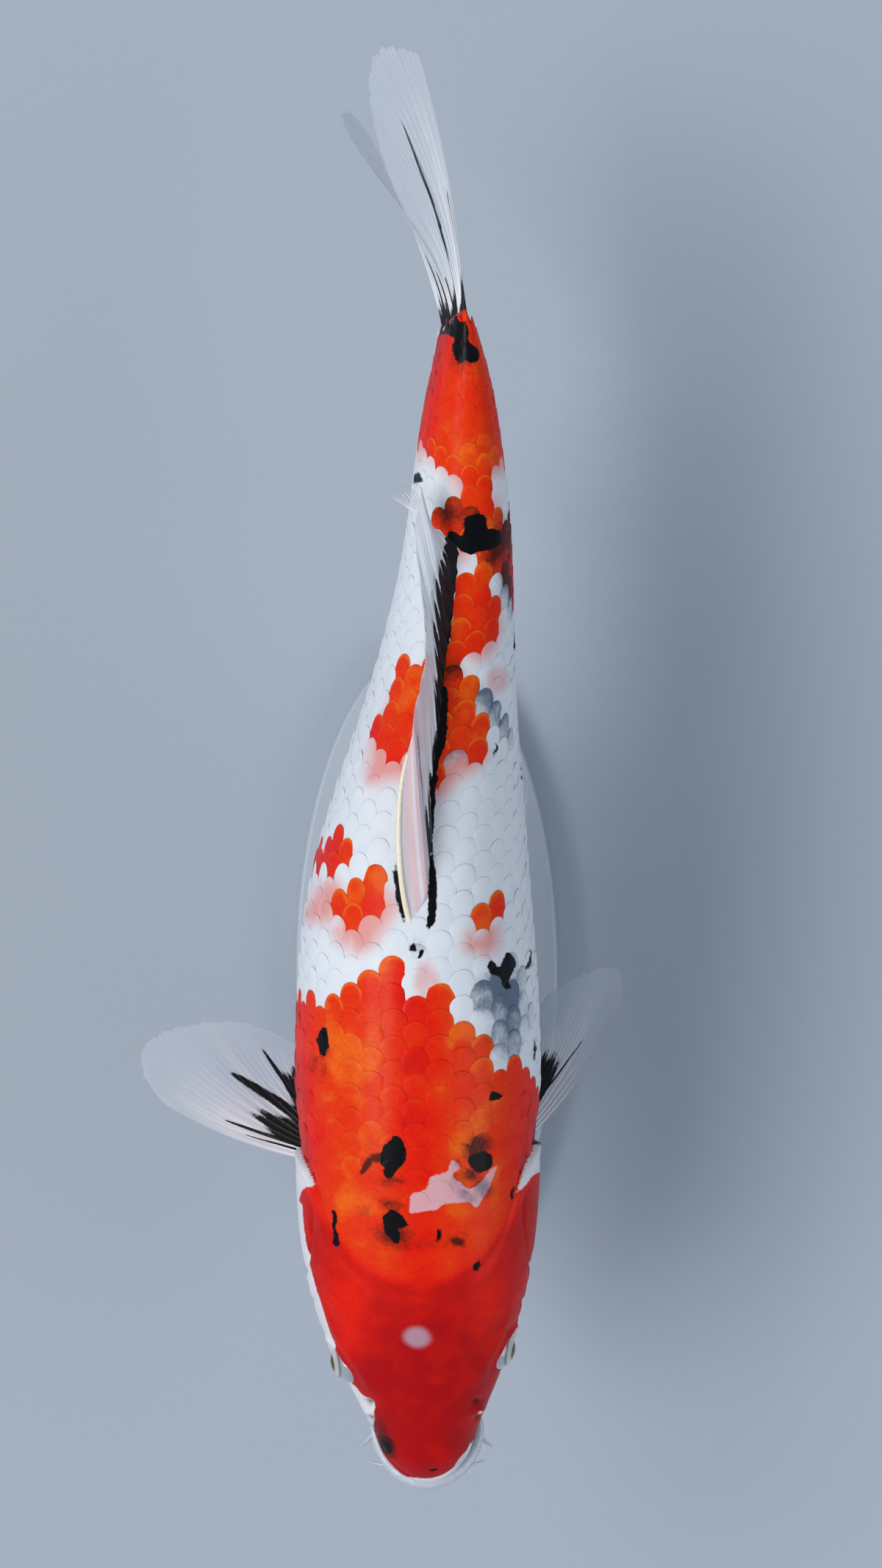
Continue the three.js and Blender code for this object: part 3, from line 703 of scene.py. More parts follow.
# black that still lies deep, but for the few named below: the five numbers of a spot, and the depth
# of the shade
GREY_SHADES = [
    (213, 31, 6, 6, 0, 1.3), (206, 37.5, 7.5, 6.5, 0, 1.2), (203, 30, 6, 6, 0, 0.8),
    (214, 41, 6, 4, 0, 0.6), (196, 37, 8, 7, 0, 0.75), (188, 37, 9, 7, 0, 0.65),
    (193, 30, 6, 6, 0, 0.55), (208, 24, 5, 4, 0, 0.45), (199, 44, 8, 3, 0, 0.5),
    (220, 34, 4, 5, 0, 0.8), (326, 17, 7, 4, -40, 0.95), (330, 13, 4, 3.4, 0, 0.85),
    (319, 23, 8, 4.5, -45, 0.75),
    (312, 28, 6, 4, -40, 0.5), (228, 0, 6, 4, 0, 0.5), (180, -42, 5, 3, 0, 0.7),
    (178, -37, 3, 2.6, 0, 0.6), (112, -9, 7, 10, 0, 0.62), (108, -7, 4, 6, 0, 0.5),
    (124, -10, 4, 6, 0, 0.5), (122, -21, 5, 4, 0, 0.35), (134, -10, 3, 7, 0, 0.45),
    (110, 16, 4.5, 7, 0, 0.4), (109.4, 16.4, 2.4, 4.6, 30, 0.85), (109, 3, 4, 20, 0, 0.3),
    # the second and third shade on the next line are painted reflections: blue glints on the white
    # window
    (148, 24.5, 7, 7, 0, 0.8), (141.5, 17, 2.6, 2.4, 0, 0.5), (127.6, 19.6, 3.4, 2.2, 50, 0.5),
    (133, 17, 6, 5, 0, 0.42), (131, 27, 5, 6, 60, 0.6), (126, 22, 3, 4, 0, 0.5),
    (212, 26, 5, 4.5, 0, 1.0), (204, 27, 5, 4.5, 0, 1.0), (385, 11, 7, 6, 0, 1.0),
    # the first two shades on the next line make the white rim at each side of the snout less white
    (8, 17, 9, 5, 40, 0.34), (14, -19, 8, 4, -40, 0.30), (136, 22, 4.5, 5, 0, 0.62),
    (397, 18, 7, 6, 0, 0.8), (401, -9, 6, 5.5, 0, 0.8), (398, 2, 8, 6, 0, 0.6),
    (391, 15, 9, 7, 0, 0.95),
    (376, 19, 13, 5, -8, 0.9), (367, 21, 9, 3.5, -8, 0.6), (467, -1, 10, 6, 0, 0.6),
    (19, -16, 7, 4.5, -20, 0.95), (25, -18.5, 9, 5.5, -15, 0.55), (168, 4, 3, 3, 0, 0.35),
    (176, -8, 3, 5, 0, 0.25), (303, 7, 5, 5, 0, 0.55), (219, 42, 5, 2, 0, 0.4),
    (338, 0.5, 6, 4, 0, 0.85), (322, 4, 8, 5, 0, 0.45),
]
PINK_SPOTS = [(214, 4, 8, 6, 0), (232, -24, 6, 8, 0), (334, 20, 6, 5, 0)]
print(f"{len(GREY_SHADES)} grey shades and {len(PINK_SPOTS)} pink ones")

# %% Ask what colour a place has
# how far an edge wanders in mm, how long its waves are, and the seed of the noise
SOFT_WANDER = (1.1, 7.0, 3)
BLACK_WANDER = (0.9, 2.6, 5)
NOISE_CELLS = 64


def lumps(x, y, size, seed):
    """Smooth random values from -1 to 1 on a plane, with lumps of about that size."""
    table = np.random.default_rng(seed).uniform(-1, 1, (NOISE_CELLS, NOISE_CELLS))
    u = np.mod(np.asarray(x) / size + seed * 1.7, NOISE_CELLS - 2)
    v = np.mod(np.asarray(y) / size + seed * 2.3, NOISE_CELLS - 2)
    i = np.floor(u)
    j = np.floor(v)
    return look_up(table, i + smooth(u - i, 0, 1), j + smooth(v - j, 0, 1))


def spot_depth(at, spread, spot):
    """How deep inside an oval spot each place lies, in millimetres."""
    middle_at, middle_aside, half_length, half_wide, lean = spot[:5]
    lean = math.radians(lean)
    x = at - middle_at
    y = spread - middle_aside
    along = x * math.cos(lean) + y * math.sin(lean)
    across = y * math.cos(lean) - x * math.sin(lean)
    oval = np.hypot(along / half_length, across / half_wide)
    return (1 - oval) * min(half_length, half_wide)


def wandered(at, spread, far, size, seed):
    """The same places, each moved a little, so that smooth outlines turn uneven."""
    return (
        at + far * lumps(at, spread, size, seed),
        spread + far * lumps(at, spread, size, seed + 1),
    )


def markings(at, spread):
    """What the pattern is at each place of the marking map. red and black are depths inside
    their patches in mm, and the others are shares of a shade."""
    wander_at, wander = wandered(at, spread, *SOFT_WANDER)
    red = np.full(at.shape, -PATCH_REACH)
    pink = np.zeros(at.shape)
    for name, line in RED_LINES.items():
        red = np.maximum(red, depth_inside(line, at, spread))
        reach = PINK_REACH.get(name, 0)
        if reach:
            ahead = depth_inside(line, wander_at + reach, wander)
            pink = np.maximum(pink, smooth(ahead, -5.0, 5.0))
    # the window takes red away, and the island in it gives some back
    window = depth_inside(WHITE_WINDOW, lerp(at, wander_at, 0.3), spread)
    island = depth_inside(WINDOW_ISLAND, wander_at, spread)
    red = np.minimum(red, np.maximum(-0.7 * window, 0.8 * island))
    dot = spot_depth(lerp(at, wander_at, 0.5), lerp(spread, wander, 0.5), HEAD_SPOT)
    # the skin in the window is mauve, and the spot on the head is lilac
    mauve = 0.85 * smooth(window, -2.5, -1.5)
    lilac = smooth(dot, -0.9, 1.9)
    for spot in PINK_SPOTS:
        pink = np.maximum(pink, 0.6 * smooth(spot_depth(wander_at, wander, spot), -1.5, 2.5))
    black = np.full(at.shape, -PATCH_REACH)
    ragged_at, ragged = wandered(at, spread, *BLACK_WANDER)
    for spot in BLACK_SPOTS:
        black = np.maximum(black, spot_depth(ragged_at, ragged, spot))
    torn_at = lerp(at, ragged_at, 0.5)
    torn = lerp(spread, ragged, 0.5)
    for line in BLACK_LINES.values():
        black = np.maximum(black, depth_inside(line, torn_at, torn))
    grey = 0.85 * smooth(depth_inside(BROWN_SCALE, torn_at, torn), -0.8, 1.0)
    for shade in GREY_SHADES:
        half_length, half_wide, _, depth = shade[2:]
        soft = spot_depth(wander_at, wander, shade) / min(half_length, half_wide)
        grey = np.maximum(grey, depth * smooth(soft, -0.45, 0.75))
    return {
        "red": red, "pink": pink, "black": black, "grey": grey, "mauve": mauve, "lilac": lilac,
    }


def warmth(at, spread):
    """0 where the red is crimson, on the head and flanks, to 1 where it is orange."""
    from_ridge = np.abs(spread) / half_width(np.clip(at, 0, BODY_LENGTH))
    # orange beside the ridge of the shoulders, and redder down the flanks
    shoulders = 0.42 + 0.36 * smooth(from_ridge, 0.05, 0.3) - 0.6 * smooth(from_ridge, 0.62, 1.05)
    # the temples, behind the eyes, are a little warmer than the rest of the head
    temples = hump(np.abs(spread) - 29, 9) * hump(at - 80, 24)
    head = 0.02 + 0.12 * smooth(at, 60, 84) + lerp(0.30, 0.16, spread > 0) * temples
    body = lerp(shoulders, 0.72 - 0.5 * smooth(from_ridge, 0.6, 1.1), smooth(at, 210, 250))
    # the head ends in a curved line over the nape, and its colour is calmer
    nape = np.minimum(91 + 0.017 * spread**2, 150)
    behind_head = smooth(at, nape - 3, nape + 4)
    warm = lerp(head, body, behind_head) + 0.3 * hump(at - 134, 5) * hump(spread - 19, 5)
    cloudy = 0.17 * lumps(at, spread, 12.0, 8) + 0.11 * lumps(at, spread, 4.5, 10)
    return warm + cloudy * lerp(0.35, 1.0, behind_head)


behind_nape = markings(np.array([170.0]), np.array([0.0]))
print(f"behind the nape it is {behind_nape['red'][0]:.1f} mm to the edge of the red")


# %% Turn arrays into Blender meshes
def add_piece(name, points, quads, triangles, material, nodes, values=None, uv=None):
    """Makes a mesh from points in millimetres. values are stored on its points."""
    quads = np.asarray(quads, np.int32).reshape(-1, 4)
    triangles = np.asarray(triangles, np.int32).reshape(-1, 3)
    mesh = bpy.data.meshes.new(name)
    mesh.vertices.add(len(points))
    metres = np.asarray(points, np.float64) * MM
    mesh.vertices.foreach_set("co", metres.astype(np.float32).ravel())
    corners = np.concatenate([quads.ravel(), triangles.ravel()])
    mesh.loops.add(len(corners))
    mesh.loops.foreach_set("vertex_index", corners)
    starts = np.concatenate(
        [np.arange(len(quads)) * 4, len(quads) * 4 + np.arange(len(triangles)) * 3]
    )
    mesh.polygons.add(len(starts))
    mesh.polygons.foreach_set("loop_start", starts.astype(np.int32))
    mesh.update(calc_edges=True)
    mesh.shade_smooth()
    for key, numbers in (values or {}).items():
        layer = mesh.attributes.new(key, "FLOAT", "POINT")
        layer.data.foreach_set("value", np.asarray(numbers, np.float32).ravel())
    if uv is not None:
        layer = mesh.uv_layers.new(name="OFBake")
        layer.uv.foreach_set("vector", np.asarray(uv, np.float32).ravel())
    mesh.materials.append(material)
    made = bpy.data.objects.new(name, mesh)
    bpy.context.scene.collection.objects.link(made)
    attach(made, "root")
    if nodes:
        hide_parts(*nodes)
    print(f"{name}: {2 * len(quads) + len(triangles)} triangles")


print("each piece rides on the root body of the frame")


# %% Faces between rows of points
def grid_quads(rows, columns, wrap=False, first=0):
    """The faces of a grid of points. wrap joins the last column to the first."""
    r = np.arange(rows - 1)[:, None]
    c = np.arange(columns if wrap else columns - 1)[None, :]
    right = (c + 1) % columns
    return first + np.stack(
        [r * columns + c, r * columns + right, (r + 1) * columns + right, (r + 1) * columns + c],
        -1,
    ).reshape(-1, 4)


def end_fans(rows, columns):
    """Triangles that close both ends of a wrapped grid, round two points that follow it."""
    c = np.arange(columns)
    n = (c + 1) % columns
    count = rows * columns
    last = count - columns
    start = np.stack([np.full(columns, count), n, c], -1)
    stop = np.stack([np.full(columns, count + 1), last + c, last + n], -1)
    return np.concatenate([start, stop])


print(f"a closed tube of 3 rings with 8 sides has {len(grid_quads(3, 8, True))} quads")

# %% [markdown]
# ## What koi skin looks like
# The skin is wet and smooth, a clear slime coat over pigment. Red is not one colour: it
# is crimson on the head, vermilion along the ridge and orange on the shoulders, and each
# scale is a little yellower at its rim. White is cool, like porcelain. Both the skin and
# the scales get the same recipe, so that the pattern runs on from one to the other.

# %% Colours of the fish
CRIMSON = (0.37, 0.0020, 0.0040)
VERMILION = (0.72, 0.010, 0.0014)
ORANGE = (0.73, 0.036, 0.0016)
GOLD = (0.78, 0.110, 0.005)
DEEP_RED = (0.24, 0.0018, 0.0012)
PORCELAIN = (0.66, 0.70, 0.76)
SHADED_WHITE = (0.52, 0.58, 0.68)
PINK = (0.66, 0.24, 0.22)
MAUVE = (0.60, 0.26, 0.30)
LILAC = (0.40, 0.22, 0.29)
SLATE = (0.060, 0.095, 0.17)
MAROON = (0.022, 0.004, 0.003)
# painted shade for the slits and pits of the head
HOLLOW_SHADE = (0.010, 0.003, 0.004)
INK = (0.0014, 0.0016, 0.0030)
RED_RAMP = [(0.0, CRIMSON), (0.4, VERMILION), (0.8, ORANGE), (1.0, GOLD)]
print(f"the reds run through {len(RED_RAMP)} stops")

# %% The wet coat
# lump sizes of the noises in mm, and how deep the relief looks in mm
FINE_GRAIN = 1.6
BROAD_CLOUD = 9.0
PORE_SIZE = 0.8
SLIME_WAVES = 4.5
PLATE_RELIEF = 0.05
SKIN_RELIEF = 0.16
# how close the fine streaks of a scale lie
FAN_STREAKS = 60.0


def coat_material(name, on_scales):
    """The wet coat of the fish. Every value comes from the mesh, so skin and scales agree."""
    material, tree, shader = new_material(
        name, Roughness=0.45, Specular_IOR_Level=0.09, Coat_Weight=0.045, Coat_Roughness=0.15
    )
    fine = noise(tree, FINE_GRAIN, 3.0)
    broad = noise(tree, BROAD_CLOUD, 3.0)
    cloud = times(tree, between(tree, broad, 0.3, 0.8), 0.35)
    white = mix_colour(tree, cloud, PORCELAIN, SHADED_WHITE)
    heat = stirred(tree, attribute(tree, "warm"), broad, 0.36)
    rim = attribute(tree, "rim")
    if on_scales:
        # painted shade: white scales are a little greyer on their front, where each comes out from
        # under the scale ahead
        shadow = between(tree, attribute(tree, "tuck_shade"), 0.35, 1.0)
        white = mix_colour(tree, times(tree, shadow, 0.10), white, SHADED_WHITE)
        glow = maths(tree, "MULTIPLY_ADD", attribute(tree, "edge"), 0.34, 0.05)
        heat = maths(tree, "MULTIPLY_ADD", rim, glow, heat)
    pink_share = times(tree, attribute(tree, "pink"), between(tree, broad, -0.1, 0.5))
    skin = mix_colour(tree, times(tree, pink_share, 0.9), white, PINK)
    mauve = times(tree, attribute(tree, "mauve"), between(tree, broad, -0.5, 0.5))
    skin = mix_colour(tree, mauve, skin, MAUVE)
    red = ramp(tree, heat, RED_RAMP)
    dapple = between(tree, fine, 0.25, 0.8)
    red = mix_colour(tree, times(tree, dapple, 0.22), red, DEEP_RED)
    is_red = between(tree, stirred(tree, attribute(tree, "red"), fine, 0.9), -0.28, 0.28)
    skin = mix_colour(tree, is_red, skin, red)
    skin = mix_colour(tree, attribute(tree, "lilac"), skin, LILAC)
    grey = stirred(tree, attribute(tree, "grey"), fine, 0.4)
    rim_shade = times(tree, attribute(tree, "grey"), 0.3)
    grey = maths(tree, "MULTIPLY_ADD", rim, rim_shade, grey)
    grey = times(tree, between(tree, grey, 0.12, 0.85), 0.92)
    skin = mix_colour(tree, grey, skin, mix_colour(tree, is_red, SLATE, MAROON))
    # painted shade: the slit of the mouth, the nostril pits and the slit behind each gill cover are
    # darkened
    skin = mix_colour(tree, attribute(tree, "hollow"), skin, HOLLOW_SHADE)
    ragged = stirred(tree, attribute(tree, "black"), fine, 1.2)
    skin = mix_colour(tree, between(tree, ragged, -0.25, 0.25), skin, INK)
    tree.links.new(skin, shader.inputs["Base Color"])
    tree.links.new(maths(tree, "MULTIPLY_ADD", fine, 0.2, 0.34), shader.inputs["Roughness"])
    if on_scales:
        fan = times(tree, attribute(tree, "fan"), FAN_STREAKS)
        streaks = times(tree, maths(tree, "SINE", fan), rim)
        bump(tree, shader, maths(tree, "MULTIPLY_ADD", streaks, 0.3, fine), PLATE_RELIEF)
    else:
        pores = noise(tree, PORE_SIZE, 2.0)
        waves = noise(tree, SLIME_WAVES, 3.0)
        bump(tree, shader, maths(tree, "MULTIPLY_ADD", pores, 0.4, waves), SKIN_RELIEF)
    return material


SKIN_MATERIAL = coat_material("wet_skin", False)
SCALE_MATERIAL = coat_material("wet_scales", True)
print("made", SKIN_MATERIAL.name, "and", SCALE_MATERIAL.name)

# %% [markdown]
# ## The skin and the head
# One skin runs from the lips to the root of the tail, so no seam shows where the solids
# of the frame meet. The head has no scales, so its forms have to be real: the gill
# cover that stands proud of the shoulder with its thin white edge, the grooves between
# the bones of the cheek, the rims of the eyes, the nostrils and the folds of the mouth.
# They could be carved by hand. Here each is a line or a point in side view, and the
# skin rises or sinks by its distance from it.

# %% The lines of the head, in side view: distance behind the snout, height
# the rear edge of the gill cover, carried on over the nape and the throat
HEAD_EDGE = smooth_line(
    [(78, 80), (84, 46), (94, 41), (110, 38), (127, 35), (138, 27), (143, 10), (143.5, -8),
     (140, -28), (131, -47), (116, -61), (98, -82)],
    False,
)
GILL_FRONT = smooth_line(
    [(132, 33), (112, 27), (97, 14), (92, -6), (95, -30), (106, -50), (121, -62)], False
)
CHEEK_EDGE = smooth_line([(84, 22), (79, 6), (78, -12), (83, -32), (93, -46)], False)
CHEEK_BONE = smooth_line([(42, 2), (45, -9), (54, -15), (65, -13), (73, -4), (76, 8)], False)
MOUTH_LINE = smooth_line([(-4, -13.0), (12, -13.4), (25, -15.5), (32, -20), (38, -26)], False)
UPPER_FOLD = smooth_line([(1, -1), (10, 0), (20, -2), (29, -8), (36, -18), (40, -28)], False)
CHIN_FOLD = smooth_line([(4, -24), (16, -24.5), (28, -26), (40, -30)], False)
# the head is turned a little to the left, so the left eye lies further back than the right
EYE = {"at": 57.5, "turn": 2.5, "height": 8.0, "radius": 10.0, "proud": 2.7}
NOSTRIL = {"at": 34.0, "aside": 22.4}
print(f"the eyes lie {EYE['at']:.0f} mm behind the snout, the nostrils {NOSTRIL['at']:.0f} mm")

# %% Raise and sink the skin
# the skin lies under the frame's own surface, deepest where the scales cover it
HEAD_TOP = 0.05
COAT_DEPTH = 0.7
NAPE_BLEND = 26.0
COVER_SHIFT = 3.2
# how far in front of the gill cover's rear edge the folds of the throat lie
THROAT_FOLDS = (-8.0, -12.5, -17.0)


def cover_at(at, aside):
    """The turned head brings the right gill cover a little further forward."""
    return at + COVER_SHIFT * smooth(-aside, 14, 34)


def groove(off, run, deep, wide, fade):
    """A groove along a line, deep and wide in mm, that fades out over a share of each end."""
    ends = smooth(run, 0.0, fade) * smooth(run, 1.0, 1 - fade)
    return deep * ends * hump(off, wide)


def gill_cover(at, aside, height, behind, on_side):
    """The gill cover: the groove in front of it, the hollow behind that and its fine rays."""
    off, run = line_distance(GILL_FRONT, cover_at(at, aside), height)
    ends = smooth(run, 0.0, 0.15) * smooth(run, 1.0, 0.85)
    hollow = 0.5 * ends * smooth(off, 9.0, 0.5) * smooth(off, -2.0, 0.0)
    rays = np.sin(np.arctan2(height - 24, at - 96) * 22)
    on_cover = smooth(-off, -8, -2) * smooth(behind, -5, -10)
    return 0.09 * on_side * rays * on_cover - groove(off, run, 1.0, 1.1, 0.15) - hollow


def cheek(at, turned, height):
    """The grooves round the bones of the cheek and the folds of the mouth."""
    rise = -groove(*line_distance(CHEEK_EDGE, at, height), 0.6, 1.2, 0.2)
    rise -= groove(*line_distance(CHEEK_BONE, at - turned, height), 0.35, 1.0, 0.15)
    for line, deep in ((UPPER_FOLD, 0.7), (CHIN_FOLD, 0.6)):
        off, run = line_distance(line, at, height)
        rise -= deep * hump(off, 1.0) * smooth(run, 1.0, 0.7)
    return rise


def eye_socket(from_eye, side, height, from_eye_at):
    """The lid's rim, the dip round it, the socket and the brow over it."""
    rim = 0.8 * hump(from_eye - 8.3, 1.1)
    dip = 0.3 * hump(from_eye - 12.2, 1.5) * smooth(side, 0.3, 0.7)
    socket = 5.0 * smooth(from_eye, 7.1, 5.6)
    brow = 0.7 * hump(height - 21.5, 3.2) * hump(from_eye_at - 2, 16)
    return rim - dip - socket + brow


def nostril(at, aside):
    """The flap of a nostril and the pits in front of it and behind it, each from 0 to 1."""
    across = np.abs(aside) - NOSTRIL["aside"]
    behind = at - NOSTRIL["at"]
    flap = hump(behind, 1.9) * hump(across, 2.2)
    front_pit = hump(behind + 3.6, 1.3) * hump(across, 1.7)
    rear_pit = hump(behind - 4.0, 1.6) * hump(across, 2.2)
    return flap, front_pit, rear_pit


def carve_head(at, turn):
    """How far the skin lies over the plain body, and where the parts of the head are."""
    aside, height = section(at, turn)
    behind, _ = line_distance(HEAD_EDGE, cover_at(at, aside), height)
    turned = np.where(aside > 0, EYE["turn"], -EYE["turn"])
    from_eye_at = at - (EYE["at"] + turned)
    from_eye = np.hypot(from_eye_at, height - EYE["height"])
    on_side = smooth(height, 40, 28)
    on_top = height > -5
    trunk = smooth(behind, -0.4, 1.0)
    head = 1 - trunk
    sink = lerp(smooth(behind, -4, NAPE_BLEND), trunk, on_side)
    rise = lerp(-HEAD_TOP, -COAT_DEPTH, sink)
    # the free edge of the gill cover: a slit behind it, a lip, and a dip in front of the lip
    rise -= on_side * 1.3 * hump(behind - 1.5, 1.1)
    rise -= (1 - on_side) * 0.22 * hump(behind - 0.7, 1.5)
    rise += on_side * 0.25 * hump(behind + 1.4, 1.2)
    rise -= on_side * 0.22 * hump(behind + 6.0, 1.3)
    rise += head * gill_cover(at, aside, height, behind, on_side)
    rise += head * cheek(at, turned, height)
    slit, slit_run = line_distance(MOUTH_LINE, at, height)
    open_share = smooth(slit_run, 1.0, 0.62) * head
    rise -= (3.6 * hump(slit, 1.5) + 0.6 * hump(slit, 4.5)) * open_share
    rise += eye_socket(from_eye, np.abs(np.cos(turn)), height, from_eye_at)
    flap, front_pit, rear_pit = nostril(at, aside)
    rise += on_top * (1.9 * flap - 1.2 * front_pit - 1.5 * rear_pit)
    # two shallow furrows and a low ridge between them run along the top of the head
    furrow = hump(np.abs(aside) - 12, 3.5) * smooth(at, 26, 42) * smooth(at, 92, 74)
    ridge = hump(aside, 5.0) * smooth(at, 20, 40) * smooth(at, 88, 70)
    rise += on_top * (0.3 * ridge - 0.35 * furrow)
    for fold_at in THROAT_FOLDS:
        rise -= head * smooth(height, -44, -54) * 0.4 * hump(behind - fold_at, 0.9)
    # painted shade for the slit of the mouth, the nostril pits and the slit behind the gill cover
    pits = np.maximum(front_pit, rear_pit) ** 2
    hollow = np.maximum(hump(slit, 0.9) * open_share, 0.85 * on_top * pits)
    hollow = np.maximum(hollow, on_side * 0.8 * hump(behind - 1.3, 0.5) * smooth(at, 146, 138))
    return {
        "rise": rise, "trunk": trunk, "behind": behind, "hollow": np.clip(hollow, 0, 1),
        "height": height, "aside": aside, "from_eye": from_eye, "flap": flap * on_top,
    }


top_of_head = carve_head(np.array([70.0]), np.array([math.pi / 2]))
print(f"on top of the head the skin lies {top_of_head['rise'][0]:.2f} mm over the plain body")

# %% Make the skin
HEAD_RINGS = 216
BODY_RINGS = 160
SKIN_SIDES = 256
HEAD_STOP = 152.0
crowd = np.linspace(0.008, 1, HEAD_RINGS) ** 1.25
skin_at = np.concatenate(
    [HEAD_STOP * crowd, np.linspace(HEAD_STOP, BODY_LENGTH, BODY_RINGS + 1)[1:]]
)
skin_turn = np.linspace(0, 2 * math.pi, SKIN_SIDES, endpoint=False) - math.pi / 2
AT, TURN = np.meshgrid(skin_at, skin_turn, indexing="ij")
head_form = carve_head(AT, TURN)
skin_base = surface_point(AT, TURN, head_form["trunk"])
skin_out = surface_normal(AT, TURN, head_form["trunk"])
skin_points = skin_base + skin_out * head_form["rise"][..., None]
# the end of the stalk is pinched from side to side, where the tail fin begins
tail_close = 1 - 0.55 * smooth(AT, 476, 486)
middle_x = swing(AT) + roll_at(AT) * head_form["height"]
skin_points[..., 0] = middle_x + (skin_points[..., 0] - middle_x) * tail_close
print(f"{skin_points.shape[0]} rings of {SKIN_SIDES} points")

# %% Mark the skin
skin_spread = spread_at(AT, TURN)
skin_marks = markings(AT, skin_spread)
# the white edge of each gill cover gets wider towards its top
COVER_EDGE = {"low": 6.0, "left": 12.0, "right": 22.0}
on_right = head_form["aside"] < 0
edge_top = np.where(on_right, COVER_EDGE["right"], COVER_EDGE["left"])
edge_width = lerp(COVER_EDGE["low"], edge_top, smooth(head_form["height"], -30, -4))
edge_width += 0.8 * lumps(AT, skin_spread, 6.0, 9)
below_line = smooth(head_form["height"], 4, -4)
white_edge = head_form["behind"] + lerp(-9.0, edge_width, below_line)
for line in COVER_LINES.values():
    white_edge = np.maximum(white_edge, depth_inside(line, AT, skin_spread))
white_edge = np.minimum(white_edge, 0.5 - head_form["behind"])
skin_red = np.minimum(skin_marks["red"], -white_edge)
eye_ring = hump(head_form["from_eye"] - 7.2, 1.3)
nostril_tip = np.clip(head_form["flap"], 0, 1) ** 2
# the rims of the eyes and the flap of the right nostril are pale, and the smaller pale top of the
# left flap is a painted highlight
skin_red = np.minimum(skin_red, 1.2 - 1.9 * eye_ring)
skin_red = np.minimum(skin_red, 1.0 - np.where(on_right, 2.2, 1.3) * nostril_tip)
pink_of_head = np.maximum(0.35 * eye_ring, 0.14 * (1 - head_form["trunk"]))
skin_values = {
    **skin_marks,
    "red": skin_red,
    "pink": np.maximum(skin_marks["pink"] * (white_edge < 0), pink_of_head),
    "warm": warmth(AT, skin_spread),
    "hollow": head_form["hollow"],
    "rim": np.zeros(AT.shape),
}
print(f"{(skin_red > 0).mean():.0%} of the skin's points are red")

# %% Close the skin and unwrap it
NOSE_INSET = 2.2
rings = len(skin_at)
nose_tip = place(0.0, 0.0, widest_level(0.0)) + [0, NOSE_INSET, 0]
tail_end = place(BODY_LENGTH, 0.0, 0.0)
all_points = np.concatenate([skin_points.reshape(-1, 3), [nose_tip, tail_end]])
skin_values = {
    name: np.append(value.ravel(), [value[0].mean(), value[-1].mean()])
    for name, value in skin_values.items()
}
skin_quads = grid_quads(rings, SKIN_SIDES, wrap=True)[:, ::-1]
skin_fans = end_fans(rings, SKIN_SIDES)[:, ::-1]


def skin_map(at, turn):
    """Where a place of the body lies on the skin's unwrap."""
    shares = np.stack([(turn + math.pi / 2) / (2 * math.pi), at / BODY_LENGTH], -1)
    return 0.01 + 0.98 * shares


def over_seam(corner_turn):
    """Moves the low corners of a face that crosses the seam up by a full turn."""
    crossing = (np.nanmax(corner_turn, 1) - np.nanmin(corner_turn, 1)) > math.pi
    moved = np.where(corner_turn < 0, corner_turn + 2 * math.pi, corner_turn)
    return np.where(crossing[:, None], moved, corner_turn)


point_at = np.append(AT.ravel(), [0, BODY_LENGTH])
point_turn = np.append(TURN.ravel(), [0, 0])
quad_turn = over_seam(point_turn[skin_quads])
# a tip has no turn of its own, so in each triangle it takes the middle of the other two
is_tip = skin_fans >= rings * SKIN_SIDES
fan_turn = over_seam(np.where(is_tip, np.nan, point_turn[skin_fans]))
fan_turn = np.where(is_tip, np.nanmean(fan_turn, 1)[:, None], fan_turn)
skin_uv = np.concatenate([
    skin_map(point_at[skin_quads], quad_turn).reshape(-1, 2),
    skin_map(point_at[skin_fans], fan_turn).reshape(-1, 2),
])
FLESH_NODES = ("head", "lower_jaw", "gill_cover_left", "gill_cover_right", "trunk", "tail_stalk")
add_piece("koi_skin", all_points, skin_quads, skin_fans, SKIN_MATERIAL, FLESH_NODES,
          skin_values, skin_uv)

# %% [markdown]
# ## Scales
# A koi's scales are thin round plates that overlap like roof tiles, each one tucked
# under the one in front. Bump alone would show them, but their edges would be flat from
# the side. So each is a real plate: its front is sunk in the skin, its rear edge stands
# a little free, and it is crowned across. Rows run along the body, and each row is
# shifted by half a scale against the next, which gives the net that one sees.
# One mesh holds all plates of one part of the body, to keep the pieces few.

# %% The pitch of the scales and of their rows
SCALE_PITCH = spline([60, 120, 200, 300, 400, 490], [7.6, 9.0, 10.3, 9.9, 8.8, 7.6])
# the rows lie this far apart where the half girth is ROW_GIRTH, and closer where it is less
ROW_SPACING = 9.4
ROW_GIRTH = 191.0
ROW_TAPER = 0.36


def row_spacing(at):
    return ROW_SPACING * (half_girth(at) / ROW_GIRTH) ** ROW_TAPER


print(f"at the shoulder the rows lie {row_spacing(190):.1f} mm apart")

# %% Lay out the rows
SCALE_START = 74.0
SCALE_STOP = 480.0
SIDE_ROWS = 24
UNEVEN_AT = 0.22
UNEVEN_ARC = 0.18
# the first scales start this far behind the edge of the head
NAPE_TUCK = 1.5
rng = np.random.default_rng(20)
steps_at = [SCALE_START]
while steps_at[-1] < SCALE_STOP + 10:
    steps_at.append(steps_at[-1] + float(SCALE_PITCH(steps_at[-1])))
steps_at = np.array(steps_at)
scale_row, index = np.meshgrid(
    np.arange(-SIDE_ROWS, SIDE_ROWS + 1), np.arange(len(steps_at) - 1), indexing="ij"
)
scale_row = scale_row.ravel()
